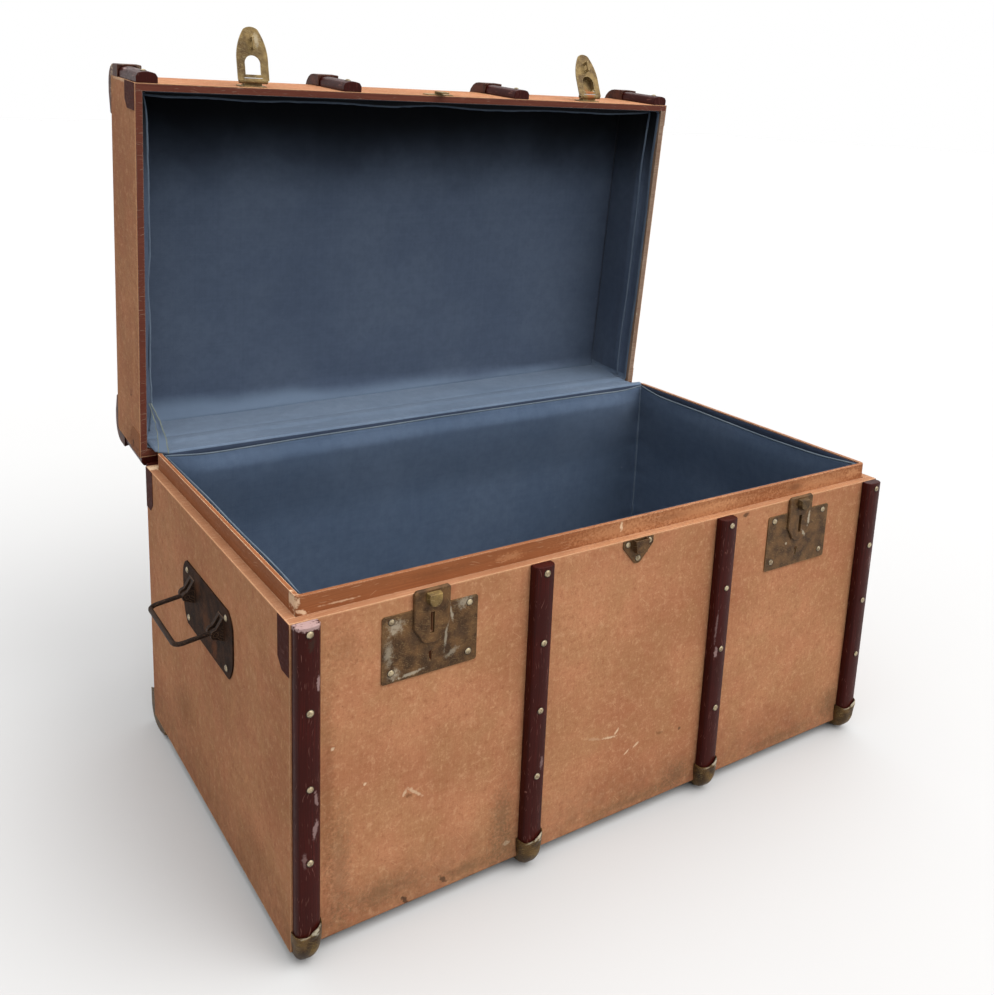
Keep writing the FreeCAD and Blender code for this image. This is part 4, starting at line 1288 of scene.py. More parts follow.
@dataclass
class BoxLining:
    """The box's lining: walls with a roll under a loose edge, a hem, a facing, a floor and corner welts."""

    measures: TrunkMeasures
    material: Material
    welt_material: Material
    facing_material: Material
    fray_material: Material
    corner: float = 10 * MM
    cell: float = 6 * MM
    edge_rows: int = 12
    off_wall: float = 1.0 * MM
    wrinkle: float = 1.6 * MM
    calm_edge: float = 10 * MM
    pucker_reach: float = 24 * MM
    pucker_pitch: float = 8 * MM
    roll: float = 9.0 * MM
    roll_height: float = 24 * MM
    roll_fade: float = 90 * MM
    step_run: float = 110 * MM
    corner_hold: float = 45 * MM
    drop: float = 2.5 * MM
    sag: float = 2.0 * MM
    end_sag: float = 3.5 * MM
    sag_sway: float = 2.2 * MM
    off_lip: float = 1.4 * MM
    lean: float = 1.6 * MM
    end_lean: float = 4.5 * MM
    back_lean: float = 3.0 * MM
    lean_sway: float = 1.5 * MM
    hem_radius: float = 1.2 * MM
    hem_turned_in: float = 6 * MM
    hem_steps: int = 460
    facing_off_lip: float = 0.45 * MM
    facing_waves: float = 0.25 * MM
    facing_below_top: float = 0.3 * MM
    facing_rows: int = 6
    floor_gap: float = 2 * MM
    floor_off_board: float = 1 * MM
    floor_waves: float = 1.2 * MM
    floor_ripples: float = 0.5 * MM
    floor_cells: tuple[int, int] = (110, 62)
    welt_radius: float = 1.6 * MM
    welt_off: float = 0.8 * MM
    welt_sway: float = 0.4 * MM
    welt_from: float = 0.01
    welt_to: float = 0.995
    welt_points: int = 70

    def __post_init__(self) -> None:
        """Read the space that the lining fills."""
        low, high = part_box("body_lining")
        self.half_x = (high.x - low.x) / 2
        self.half_y = (high.y - low.y) / 2
        self.floor = low.z - self.measures.origin.z
        self.top = high.z - self.measures.origin.z
        lip_low, lip_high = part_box("lip_left")
        self.step_height = lip_low.z - self.measures.origin.z
        self.lip_thickness = lip_high.x - lip_low.x
        self.line = WallLine(self.half_x, self.half_y, self.corner)
        self.columns = round(self.line.length / self.cell)

    def build(self) -> None:
        """Make the lining's pieces."""
        walls = self.walls()
        floor = self.floor_cloth()
        hem = self.hem()
        facing = self.facing()
        for piece in (walls, floor, hem, facing, *self.welts()):
            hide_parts("body_lining")
            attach(piece, "box")
            log.info("piece %s", piece.name)

    def rim(self, share: float, base: Vector, from_corner: float) -> tuple[float, float, float]:
        """The loose upper edge at one place.

        Args:
            share: How far round.
            base: The place on the wall.
            from_corner: Distance from the nearest corner.

        Returns:
            The edge's height, how far it stands off the lip, and how far the roll below it swells.
        """
        loose = 1 - math.exp(-((from_corner / self.corner_hold) ** 2))
        end = min(abs(base.x) / self.half_x, 1.0) ** 12
        back = smooth(base.y / self.half_y * 4 - 3)
        sag = self.sag + self.end_sag * end + self.sag_sway * wave(share * 17, 0.0, 5.5)
        lean = self.lean + self.end_lean * end + self.back_lean * back
        lean += self.lean_sway * wave(share * 21, 2.0, 3.1)
        swell = self.roll * loose * (1 - 0.75 * end) * (1 + 0.35 * wave(share * 13, 5.0, 7.2))
        return self.top - self.drop - sag * loose, self.off_lip + lean * loose, swell

    def wall_point(self, share: float, v: float) -> Vector:
        """A point of the wall cloth.

        Args:
            share: How far round, from the front left corner.
            v: From the floor, 0, to the loose edge, 1.

        Returns:
            The point in the box's measures.
        """
        base, inward, from_corner = self.line.at(share)
        edge, off, swell = self.rim(share, base, from_corner)
        z = self.floor + v * (edge - self.floor)
        below = edge - z
        step = smooth((z - self.step_height + self.step_run) / self.step_run)
        fade = math.exp(-max(below - self.roll_height, 0.0) / self.roll_fade)
        rolled = smooth(below / self.roll_height) * fade
        held = self.off_wall + step * (self.lip_thickness + off - self.off_wall) + swell * rolled
        near = math.exp(-from_corner / self.pucker_reach)
        folds = 0.5 + 0.5 * wave(base.x * 7 + base.y * 7, z * 3, 1.7)
        dents = wave(base.x * 16 + base.y * 16 + z * 9, z * 13, 6.4)
        pucker = (0.5 + 0.5 * math.sin(z / self.pucker_pitch + 3 * wave(z * 30, share * 60, 4.1))) * near
        calm = smooth(below / self.calm_edge)
        out = held + self.wrinkle * calm * (folds + 0.45 * dents + 1.5 * pucker)
        return base + inward * out + Vector((0, 0, z))

    def walls(self) -> Piece:
        """The cloth round the four walls, with a soft roll under its loose edge, folds and puckers.

        Returns:
            The cloth.
        """
        def place(u: float, v: float) -> Vector:
            """One point of the cloth, with closer rows near the edge."""
            return self.measures.at(*self.wall_point(u, v ** 0.8))

        rows = round((self.top - self.floor) / self.cell) + self.edge_rows
        return cloth_grid("box_lining_walls", self.columns, rows, place, self.material, closed=True)

    def facing(self) -> Piece:
        """The dark strip that covers the lip's inner faces behind the loose edge.

        Returns:
            The strip.
        """
        height = self.top - self.step_height - self.facing_below_top

        def place(u: float, v: float) -> Vector:
            """One point of the strip.

            Args:
                u: How far round.
                v: From the lower edge to the upper.

            Returns:
                The point in the frame.
            """
            base, inward, _ = self.line.at(u)
            waves = self.facing_waves * (1 + wave(u * 90, v * 3, 4.9)) * (1 - v)
            out = self.lip_thickness + self.facing_off_lip + waves
            return self.measures.at(*(base + inward * out + Vector((0, 0, self.step_height + height * v))))

        return cloth_grid("box_lining_facing", self.columns, self.facing_rows, place, self.facing_material,
                          closed=True)

    def floor_cloth(self) -> Piece:
        """The cloth on the floor, with a few slack waves.

        Returns:
            The cloth.
        """
        hx, hy = self.half_x - self.floor_gap, self.half_y - self.floor_gap

        def place(u: float, v: float) -> Vector:
            """One point of the cloth.

            Args:
                u: From left to right.
                v: From front to back.

            Returns:
                The point in the frame.
            """
            x, y = (2 * u - 1) * hx, (2 * v - 1) * hy
            rise = self.floor_waves * (1 + wave(x * 5, y * 5, 8.3))
            rise += self.floor_ripples * (1 + wave(x * 16, y * 11, 2.9))
            return self.measures.at(x, y, self.floor + self.floor_off_board + rise)

        return cloth_grid("box_lining_floor", *self.floor_cells, place, self.material)

    def hem(self) -> Piece:
        """The rolled hem along the loose edge.

        Returns:
            The hem.
        """
        steps = self.hem_steps
        path = [self.measures.at(*self.wall_point(i / steps, 1.0)) for i in range(steps)]
        return tube("box_lining_hem", path, self.hem_radius, self.fray_material, closed=True)

    def welts(self) -> list[Piece]:
        """The welts that cover the seams in the four corners.

        Returns:
            The four welts.
        """
        made = []
        way = 0.0
        names = ("front_right", "back_right", "back_left", "front_left")
        for name, span in zip(names, self.line.spans):
            share = (way + span + self.line.arc / 2) / self.line.length
            way += span + self.line.arc
            inward = self.line.at(share)[1]
            path = []
            for i in range(self.welt_points):
                v = self.welt_from + (self.welt_to - self.welt_from) * i / (self.welt_points - 1)
                off = self.welt_off + self.welt_sway * wave(i * 0.5, 0.0, 3.0 + span)
                path.append(self.measures.at(*(self.wall_point(share, v) + inward * off)))
            made.append(tube("box_lining_welt_" + name, path, self.welt_radius, self.welt_material))
        return made


@dataclass
class LidLining:
    """The lid's lining: a panel, loose walls with a fold, its piping, a flat hem and corner welts."""

    measures: TrunkMeasures
    material: Material
    welt_material: Material
    # A lighter copy of the lining for the back wall, painted light where it faces up when the lid is open
    painted_light_material: Material
    corner: float = 6 * MM
    cell: float = 6 * MM
    rows_per_cell: float = 1.8
    off_wall: float = 1.0 * MM
    flat_off_wall: float = 0.55 * MM
    panel_gap: float = 1 * MM
    panel_cells: tuple[int, int] = (180, 120)
    panel_edge: float = 30 * MM
    panel_waves: float = 1.6 * MM
    panel_ripples: float = 0.8 * MM
    cove: float = 13 * MM
    cove_run: float = 30 * MM
    over_lip: float = 2 * MM
    free_run: float = 16 * MM
    loose: float = 7.5 * MM
    slack: float = 2.6 * MM
    gather: float = 1.8 * MM
    gather_reach: float = 30 * MM
    corner_hold: float = 16 * MM
    back_run: float = 30 * MM
    # How far from the back the walls take that lighter, painted-light copy
    faded_back: float = 9 * MM
    fold_above: float = 4 * MM
    fold_start: float = 1 * MM
    fold_left: float = 10.5 * MM
    fold_top: float = 6.5 * MM
    fold_right: float = 2.5 * MM
    fold_reach: float = 6.5 * MM
    fold_corner: float = 14 * MM
    hem_above_rim: float = 6 * MM
    hem_sway: float = 3.2 * MM
    hem_width: float = 5.5 * MM
    hem_over_edge: float = 0.2
    hem_off: float = 0.15 * MM
    hem_swell: float = 0.25 * MM
    hem_gauge: float = 0.9 * MM
    hem_cells: tuple[int, int] = (460, 4)
    crest_radius: float = 1.7 * MM
    crest_off: float = 0.7 * MM
    crest_sway: float = 0.6 * MM
    crest_above: float = 0.8 * MM
    crest_end: float = 14 * MM
    crest_steps: int = 420
    welt_radius: float = 1.5 * MM
    welt_inset: float = 4 * MM
    welt_sway: float = 0.8 * MM
    welt_below_panel: float = 3 * MM
    welt_above_lip: float = 2 * MM
    welt_points: int = 24

    def __post_init__(self) -> None:
        """Read the space that the lining fills, in the closed lid's measures."""
        m = self.measures
        inside = [m.on_closed_lid(v.co) for v in frame["nodes"]["lid_lining"].data.vertices]
        boards = [m.on_closed_lid(v.co) for v in frame["nodes"]["lid_wrap_board"].data.vertices]
        self.half_x = max(p.x for p in inside)
        self.half_y = max(p.y for p in inside)
        self.deep = max(p.z for p in inside)
        self.line = WallLine(self.half_x, self.half_y, self.corner)
        self.hem_height = min(p.z for p in boards) + self.hem_above_rim
        self.clear_of_lip = m.lip_top + self.over_lip
        self.fold_height = self.clear_of_lip + self.fold_above

    def build(self) -> None:
        """Make the lining's pieces."""
        panel = self.panel()
        walls = self.walls()
        hem = self.hem()
        crest = self.crest()
        for piece in (panel, walls, hem, crest, *self.welts()):
            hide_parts("lid_lining")
            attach(piece, "lid")
            log.info("piece %s", piece.name)

    def panel(self) -> Piece:
        """The panel over the lid's top, slack enough for long low waves, coved along the back.

        Returns:
            The cloth.
        """
        hx, hy = self.half_x - self.panel_gap, self.half_y - self.panel_gap

        def place(u: float, v: float) -> Vector:
            """One point of the cloth.

            Args:
                u: From left to right.
                v: From front to back.

            Returns:
                The point in the frame.
            """
            x, y = (2 * u - 1) * hx, (2 * v - 1) * hy
            slack = 1 - math.exp(-min(hx - abs(x), hy - abs(y)) / self.panel_edge)
            waves = self.panel_waves * (1 + wave(x * 4, y * 4, 3.3))
            waves += self.panel_ripples * (1 + wave(x * 9, y * 15, 6.1))
            run = self.cove_run * (1 - 0.4 * x / hx + 0.35 * wave(x * 5, 0.0, 9.9))
            cove = self.cove * (1 - 0.35 * x / hx) * max(1 - (hy - y) / run, 0.0) ** 2
            return self.measures.lid_at(x, y, self.deep - self.off_wall - waves * slack - cove)

        return cloth_grid("lid_lining_panel", *self.panel_cells, place, self.material)

    def wall_point(self, share: float, v: float) -> Vector:
        """A point of the wall cloth.

        Args:
            share: How far round, from the front left corner.
            v: From the panel, 0, to the hem, 1.

        Returns:
            The point in the closed lid's measures.
        """
        base, inward, from_corner = self.line.at(share)
        edge = self.hem_height + self.hem_sway * wave(share * 26, 0.0, 8.8)
        z = self.deep - v * (self.deep - edge)
        near = math.exp(-from_corner / self.gather_reach)
        back = smooth((base.y - self.half_y + self.back_run) / self.back_run)
        held = 1 - math.exp(-from_corner / self.corner_hold)
        free = smooth((z - self.clear_of_lip) / self.free_run)
        hang = self.loose * (1 - 0.85 * back) * held * v ** 2 * (0.85 + 0.9 * wave(share * 22, v, 2.2))
        slack = self.slack * math.sin(math.pi * v) * (0.6 + 0.8 * wave(share * 28, v * 2, 9.4))
        gathers = self.gather * near * (0.5 + 0.5 * math.sin(v * 14 + 4 * wave(share * 60, v * 4, 1.1)))
        loose = self.off_wall - self.flat_off_wall + max(hang + slack + gathers, 0.0)
        out = self.flat_off_wall + loose * free + self.fold(share, z)
        return base + inward * out + Vector((0, 0, z))

    def fold(self, share: float, z: float) -> float:
        """How far the loose fold stands off the wall.

        Args:
            share: How far round, from the front left corner.
            z: Height on the closed lid.

        Returns:
            The distance in metres.
        """
        _, inward, from_corner = self.line.at(share)
        full = self.fold_top * max(inward.y, 0.0) + self.fold_left * max(inward.x, 0.0)
        full += self.fold_right * max(-inward.x, 0.0)
        full *= 1 + 0.4 * wave(share * 34, 0.0, 5.2) - 0.5 * math.exp(-from_corner / self.fold_corner)
        above = max(z - self.fold_height, 0.0)
        start = self.clear_of_lip - self.fold_start
        below = smooth((z - start) / (self.fold_height - start))
        return full * below * math.exp(-((above / (2 * self.fold_reach)) ** 2))

    def walls(self) -> Piece:
        """The cloth round the lid's four walls, looser towards its hem, with a lighter copy of the lining
        along the back as painted light, since the back wall faces up when the lid is open.

        Returns:
            The cloth.
        """
        def place(u: float, v: float) -> Vector:
            """One point of the cloth."""
            return self.measures.lid_at(*self.wall_point(u, v))

        columns = round(self.line.length / self.cell)
        rows = round((self.deep - self.hem_height) / self.cell * self.rows_per_cell)
        made = cloth_grid("lid_lining_walls", columns, rows, place, self.material, closed=True)
        # Painted light: the faces along the back wall take the lighter copy
        made.data.materials.append(self.painted_light_material)
        back = self.half_y - self.faded_back
        for face in made.data.polygons:
            if self.measures.on_closed_lid(face.center).y > back:
                face.material_index = 1
        return made

    def hem(self) -> Piece:
        """The flat bound hem along the cloth's lower edge, thin enough to pass the lip when the lid closes.

        Returns:
            The hem.
        """
        def place(u: float, v: float) -> Vector:
            """One point of the binding, a little rounded across.

            Args:
                u: How far round.
                v: From the lower edge to the upper.

            Returns:
                The point in the frame.
            """
            inward = self.line.at(u)[1]
            out = self.hem_off + self.hem_swell * math.sin(math.pi * v)
            rise = (v - self.hem_over_edge) * self.hem_width
            return self.measures.lid_at(*(self.wall_point(u, 1.0) + inward * out + Vector((0, 0, rise))))

        return cloth_grid("lid_lining_hem", *self.hem_cells, place, self.welt_material, closed=True,
                          gauge=self.hem_gauge)

    def crest(self) -> Piece:
        """The worn piping along the crest of the loose fold, on every wall but the back.

        Returns:
            The piping.
        """
        path = []
        start = self.crest_end - 2 * self.half_y
        reach = 2 * self.half_x + 4 * self.half_y - 2 * self.crest_end
        down = (self.deep - self.fold_height - self.crest_above) / (self.deep - self.hem_height)
        for i in range(self.crest_steps + 1):
            share = (start + reach * i / self.crest_steps) / self.line.length % 1.0
            off = self.crest_off + self.crest_sway * wave(i * 0.35, 0.0, 2.6)
            point = self.wall_point(share, down) + self.line.at(share)[1] * off
            path.append(self.measures.lid_at(*point))
        return tube("lid_lining_crest", path, self.crest_radius, self.welt_material)

    def welts(self) -> list[Piece]:
        """Welts in the corners between the walls.

        Returns:
            The four welts.
        """
        made = []
        top = self.deep - self.welt_below_panel
        reach = top - self.clear_of_lip - self.welt_above_lip
        corners = (("front_left", -1, -1), ("front_right", 1, -1), ("back_right", 1, 1), ("back_left", -1, 1))
        for name, sx, sy in corners:
            path = []
            for i in range(self.welt_points):
                inset = self.welt_inset + self.welt_sway * wave(i * 0.4, 1.0, 5.0 + sx + 2 * sy)
                z = top - reach * i / (self.welt_points - 1)
                path.append(self.measures.lid_at(sx * (self.half_x - inset), sy * (self.half_y - inset), z))
            made.append(tube("lid_lining_welt_" + name, path, self.welt_radius, self.welt_material))
        return made


@dataclass
class HingeCloth:
    """The strip over the hinges, from behind the box's lining over the lip to the lid's back wall.

    Its stations on the box count from the lip's inner face and top, those on the lid from its back and hem.
    """

    measures: TrunkMeasures
    lid: LidLining
    material: Material
    box_inset: float = 9 * MM
    lid_inset: float = 4 * MM
    on_box_mm: tuple[tuple[float, float], ...] = ((-1.3, -9), (-1.2, -1), (0.6, 1.1))
    on_lid_mm: tuple[tuple[float, float], ...] = ((-2.6, -1), (-4.4, 9), (-2.8, 24))
    past_lip: float = 1 * MM
    over_lip: float = 1.3 * MM
    sag: float = 4 * MM
    waves: float = 1.6 * MM
    ripples: float = 0.7 * MM
    cells: tuple[int, int] = (150, 44)

    def __post_init__(self) -> None:
        """Work out the strip's middle line."""
        m = self.measures
        lip_low, lip_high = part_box("lip_back")
        inner, outer = lip_low.y - m.origin.y, lip_high.y - m.origin.y
        self.over = m.at(0, outer + self.past_lip, m.lip_top + self.over_lip)
        back, hem = self.lid.half_y, self.lid.hem_height
        upper = [m.lid_at(0, back + y * MM, hem + z * MM) for y, z in self.on_lid_mm]
        self.rim = upper[0]
        lower = [m.at(0, inner + y * MM, m.lip_top + z * MM) for y, z in self.on_box_mm]
        self.stations = [*lower, self.over, self.over.lerp(self.rim, 0.5) - Vector((0, 0, self.sag)), *upper]
        self.lengths = [(b - a).length for a, b in zip(self.stations, self.stations[1:])]

    def build(self) -> None:
        """Make the strip."""
        half_box, half_lid = self.lid.half_x - self.box_inset, self.lid.half_x - self.lid_inset

        def place(u: float, v: float) -> Vector:
            """One point of the cloth.

            Args:
                u: From left to right.
                v: From the box's lining to the lid.

            Returns:
                The point in the frame.
            """
            point, far = self.along(v)
            x = (2 * u - 1) * (half_box + (half_lid - half_box) * far)
            free = math.sin(math.pi * smooth((far - 0.3) / 0.7))
            ripple = self.waves * wave(x * 9, v * 3, 4.4) + self.ripples * wave(x * 26, v * 6, 7.7)
            return Vector((self.measures.origin.x + x, point.y, point.z + free * ripple))

        made = cloth_grid("hinge_cloth", *self.cells, place, self.material)
        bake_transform(made)
        log.info("piece %s", made.name)

    def along(self, v: float) -> tuple[Vector, float]:
        """A place on the middle line.

        Args:
            v: The share of its length.

        Returns:
            The place, and the share of the stations passed.
        """
        left = v * sum(self.lengths)
        i = 0
        while left > self.lengths[i] and i + 1 < len(self.lengths):
            left -= self.lengths[i]
            i += 1
        share = left / self.lengths[i]
        return self.stations[i].lerp(self.stations[i + 1], min(share, 1.0)), (i + share) / len(self.lengths)


@dataclass
class CornerWeb:
    """The narrow web of lining between the lid's left wall and the box's corner, with worn bound edges."""

    measures: TrunkMeasures
    lid: LidLining
    material: Material
    binding_material: Material
    head_inset: float = 7 * MM
    head_forward: float = 66 * MM
    head_above_hem: float = 4 * MM
    foot_inset: float = 9 * MM
    foot_forward: float = 10 * MM
    foot_above_lip: float = 1 * MM
    narrow: float = 3 * MM
    wide: float = 15 * MM
    bow: tuple[float, float, float] = (3 * MM, -4 * MM, 0.0)
    spread: tuple[float, float, float] = (0.75, -0.66, 0.0)
    ripple: float = 2.6 * MM
    edge_radius: float = 0.8 * MM
    cells: tuple[int, int] = (8, 30)
    edge_steps: int = 40

    def build(self) -> None:
        """Make the web and its edges."""
        m, half_x, half_y = self.measures, self.lid.half_x, self.lid.half_y
        head = m.lid_at(self.head_inset - half_x, half_y - self.head_forward,
                        self.lid.hem_height + self.head_above_hem)
        foot = m.at(self.foot_inset - half_x, half_y - self.foot_forward, m.lip_top + self.foot_above_lip)
        reach = foot - head

        def place(u: float, v: float) -> Vector:
            """One point of the web.

            Args:
                u: From its left edge to its right.
                v: From its head on the lid to its foot on the box.

            Returns:
                The point in the frame.
            """
            middle = head + reach * v + Vector(self.bow) * math.sin(math.pi * v)
            aside = Vector(self.spread) * (u - 0.5) * (self.narrow + (self.wide - self.narrow) * v)
            ripple = Vector((self.ripple * wave(u * 3, v * 7, 2.8), 0, 0)) * math.sin(math.pi * v)
            return middle + aside + ripple

        web = cloth_grid("corner_gusset", *self.cells, place, self.material)
        edges = []
        for name, side in (("corner_gusset_edge_left", 0.0), ("corner_gusset_edge_right", 1.0)):
            path = [place(side, i / self.edge_steps) for i in range(self.edge_steps + 1)]
            edges.append(tube(name, path, self.edge_radius, self.binding_material))
        for piece in (web, *edges):
            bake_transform(piece)
            log.info("piece %s", piece.name)


@dataclass
class Studio:
    """Floor, world light, key light and camera."""

    measures: TrunkMeasures
    image_width: int = 994
    image_height: int = 995
    focal_pixels: float = 1045.04
    middle_x: float = 496.18
    middle_y: float = 339.56
    sensor_width: float = 36.0
    yaw: float = -33.579
    pitch: float = -12.682
    roll: float = 2.259
    eye: tuple[float, float, float] = (-809.3 * MM, -1147.0 * MM, 889.9 * MM)
    level: float = 0.22
    overhead: float = 2.25
    from_right: float = 0.35
    from_front: float = 0.42
    key_way: tuple[float, float, float] = (0.42, -0.5, 0.76)
    key_distance: float = 4.0
    key_width: float = 40.0
    key_power: float = 1.1
    key_tint: tuple[float, float, float] = (1.0, 0.98, 0.95)
    floor_half: float = 30.0
    floor_seen: Colour = (0.52, 0.52, 0.52, 1.0)
    floor_dim: float = 0.97
    floor_lit: Colour = (0.14, 0.14, 0.14, 1.0)
    floor_roughness: float = 0.9

    def build(self) -> None:
        """Make everything that isn't the trunk."""
        self.camera()
        self.floor()
        self.world()
        self.key()

    def camera(self) -> None:
        """The camera at the photograph's place, with its picture moved so that upright lines agree."""
        data = bpy.data.cameras.new("Camera")
        camera = bpy.data.objects.new("Camera", data)
        bpy.context.scene.collection.objects.link(camera)
        longer = max(self.image_width, self.image_height)
        data.sensor_width = self.sensor_width
        data.lens = self.focal_pixels * data.sensor_width / longer
        data.shift_x = (self.image_width / 2 - self.middle_x) / longer
        data.shift_y = (self.middle_y - self.image_height / 2) / longer
        yaw, pitch, roll = (math.radians(a) for a in (self.yaw, self.pitch, self.roll))
        forward = Vector((-math.sin(yaw) * math.cos(pitch), math.cos(yaw) * math.cos(pitch), math.sin(pitch)))
        level = Vector((math.cos(yaw), math.sin(yaw), 0))
        upright = level.cross(forward)
        right = level * math.cos(roll) + upright * math.sin(roll)
        up = upright * math.cos(roll) - level * math.sin(roll)
        turn = Matrix((right, up, -forward)).transposed()
        camera.matrix_world = Matrix.Translation(self.measures.at(*self.eye)) @ turn.to_4x4()
        bpy.context.scene.camera = camera

    def floor(self) -> None:
        """A wide pale floor that keeps the trunk's shadow."""
        shape = bmesh.new()
        half = self.floor_half
        places = ((-half, -half), (half, -half), (half, half), (-half, half))
        shape.faces.new([shape.verts.new((x, y, 0)) for x, y in places])
        floor = from_bmesh("Floor", shape, smooth=False)
        coat = Coat("Pale floor")
        w = coat.wires
        dim = [self.floor_dim * part for part in self.floor_seen]
        tone = w.mix(w.clouds(coat.place, 1.5, 3.0), self.floor_seen, dim)
        colour = w.mix(self.seen(w), self.floor_lit, tone)
        floor.data.materials.append(coat.finish(colour, self.floor_roughness, Specular_IOR_Level=0.0))

    @staticmethod
    def seen(w: Wires) -> Socket:
        """Whether a ray comes from the camera, a reflection or a clear surface.

        Args:
            w: The tree that asks.

        Returns:
            1 where it does, else 0.
        """
        rays = w.add("LightPath").outputs
        return w.calc("MAXIMUM", rays["Is Camera Ray"],
                      w.calc("MAXIMUM", rays["Is Glossy Ray"], rays["Is Transmission Ray"]))

    def world(self) -> None:
        """Soft light all round, stronger overhead and from the front right, and white where it is seen."""
        world = bpy.data.worlds.new("Studio")
        bpy.context.scene.world = world
        world.use_nodes = True
        w = Wires(world.node_tree)
        ground = world.node_tree.nodes["Background"]
        x, y, z = w.parts(w.add("TexCoord").outputs["Generated"])
        overhead = w.plus(self.level, w.times(w.calc("MAXIMUM", z, 0.0), self.overhead))
        lean = w.plus(w.times(x, self.from_right), w.times(y, -self.from_front))
        light = w.times(overhead, w.plus(1.0, lean))
        seen = self.seen(w)
        w.feed(ground.inputs["Color"], (1.0, 1.0, 1.0, 1.0))
        w.feed(ground.inputs["Strength"], w.plus(w.times(light, w.minus(1.0, seen)), seen))

    def key(self) -> None:
        """A wide soft key from above, in front and to the right."""
        data = bpy.data.lights.new("Key", "SUN")
        data.energy = self.key_power
        data.angle = math.radians(self.key_width)
        data.color = self.key_tint
        lamp = bpy.data.objects.new("Key", data)
        bpy.context.scene.collection.objects.link(lamp)
        lamp.location = Vector(self.key_way) * self.key_distance
        lamp.rotation_mode = "QUATERNION"
        lamp.rotation_quaternion = (-Vector(self.key_way)).to_track_quat("-Z", "Y")


class Ink(Enum):
    """What a mark shows."""

    CREAM = srgb(226, 196, 162)
    CHALK = srgb(196, 186, 164)
    LILAC = srgb(168, 140, 136)
    OAK = srgb(200, 146, 104)
    SOOT = srgb(52, 38, 30)
    MOSS = srgb(96, 80, 58)
    UMBER = srgb(112, 70, 44)
    RUST = srgb(150, 84, 42)
    HIDE = srgb(142, 92, 60)
    GILT = srgb(134, 106, 50)


# Each row is one mark: its place along and up, its length and width in mm, its turn in degrees, its colour,
# how strongly it covers and how soft its edge is. Rows for the lid give places on the closed lid.

CANVAS_MARKS = (
    (-304, 143, 14, 2.2, 42, Ink.CREAM, 0.55, 0.1),
    (-316, 146, 6, 2, -60, Ink.CREAM, 0.6, 0),
    (-312, 141, 5, 3, 20, Ink.UMBER, 0.6, 0.1),
    (-24, 118, 13, 1.7, 8, Ink.CREAM, 0.7, 0.1),
    (-13, 123, 6, 1.6, -50, Ink.CREAM, 0.75, 0),
    (-50, 124, 14, 2.4, 18, Ink.CREAM, 0.25, 0.3),
    (6, 87, 5, 1.6, -35, Ink.CREAM, 0.75, 0),
    (22, 93, 6, 1.8, -35, Ink.CREAM, 0.7, 0),
    (-313, 6, 9, 3, 60, Ink.SOOT, 0.75, 0),
    (-263, 12, 8, 3, 50, Ink.SOOT, 0.7, 0),
    (-176, 26, 5, 3.5, 0, Ink.CREAM, 0.75, 0),
    (-403, 229, 2.2, 2.2, 0, Ink.CREAM, 0.9, 0),
    (-365, 174, 2, 2, 0, Ink.CREAM, 0.8, 0),
    (61, 97, 7, 3.5, 10, Ink.UMBER, 0.5, 0.3),
    (97, 92, 2.5, 2.5, 0, Ink.SOOT, 0.6, 0),
    (-184, 66, 20, 50, 0, Ink.MOSS, 0.5, 0.6),
    (-395, 80, 18, 90, 0, Ink.MOSS, 0.4, 0.6),
    (-340, 30, 60, 22, 0, Ink.MOSS, 0.4, 0.6),
    (-230, 14, 50, 12, 0, Ink.MOSS, 0.4, 0.6),
    (20, 12, 90, 10, 0, Ink.MOSS, 0.35, 0.6),
    (300, 12, 90, 12, 0, Ink.MOSS, 0.35, 0.6),
    (-178, 20, 26, 34, 0, Ink.MOSS, 0.45, 0.6),
    (95, 22, 30, 26, 0, Ink.MOSS, 0.45, 0.6),
    (402, 36, 22, 34, 0, Ink.MOSS, 0.45, 0.6),
    (-408, 180, 10, 170, 0, Ink.UMBER, 0.35, 0.6),
    (-386, 340, 26, 30, 0, Ink.UMBER, 0.3, 0.6),
    (186, 377, 6, 4, 0, Ink.SOOT, 0.7, 0.1),
)
END_MARKS = (
    (-88, 141, 12, 2.2, 60, Ink.OAK, 0.6, 0.1),
    (-128, 131, 15, 3, 55, Ink.OAK, 0.6, 0.1),
    (-106, 150, 9, 3, 70, Ink.OAK, 0.4, 0.3),
    (-88, 200, 34, 4.5, 60, Ink.OAK, 0.35, 0.4),
    (-60, 240, 40, 6, 75, Ink.OAK, 0.25, 0.5),
    (110, 90, 60, 40, 20, Ink.UMBER, 0.35, 0.6),
    (-150, 60, 60, 30, 0, Ink.UMBER, 0.3, 0.6),
    (247, 384, 10, 9, 0, Ink.CREAM, 0.85, 0.1),
)
LID_END_MARKS = (
    (178, 427, 3, 4.5, 30, Ink.SOOT, 0.7, 0.1),
    (172, 425, 7, 9, 0, Ink.UMBER, 0.4, 0.5),
    (247, 427, 34, 50, 0, Ink.UMBER, 0.5, 0.6),
    (-256, 445, 2.2, 50, 0, Ink.CREAM, 0.7, 0.1),
    (-253, 399, 4, 10, 10, Ink.CREAM, 0.7, 0.1),
    (-229, 500, 9, 5, 0, Ink.UMBER, 0.6, 0.3),
    (124, 406, 90, 12, 0, Ink.OAK, 0.3, 0.6),
)
LID_SLAT_MARKS = (
    (-446, 503, 4, 11, 20, Ink.CREAM, 0.7, 0.1),
    (-440, 479, 5, 4, -10, Ink.CHALK, 0.6, 0.1),
    (-428, 469, 9, 1.8, 0, Ink.CHALK, 0.5, 0.1),
    (-444, 452, 2.2, 9, 8, Ink.LILAC, 0.5, 0.1),
    (-436, 425, 1.8, 6, 0, Ink.LILAC, 0.5, 0),
    (-424, 391, 8, 2, 0, Ink.LILAC, 0.5, 0.1),
)
LID_PATCH_MARKS = (
    (300, 430, 90, 60, 0, Ink.HIDE, 0.92, 0.1),
    (318, 400, 3.5, 5.5, 10, Ink.SOOT, 0.75, 0.1),
)
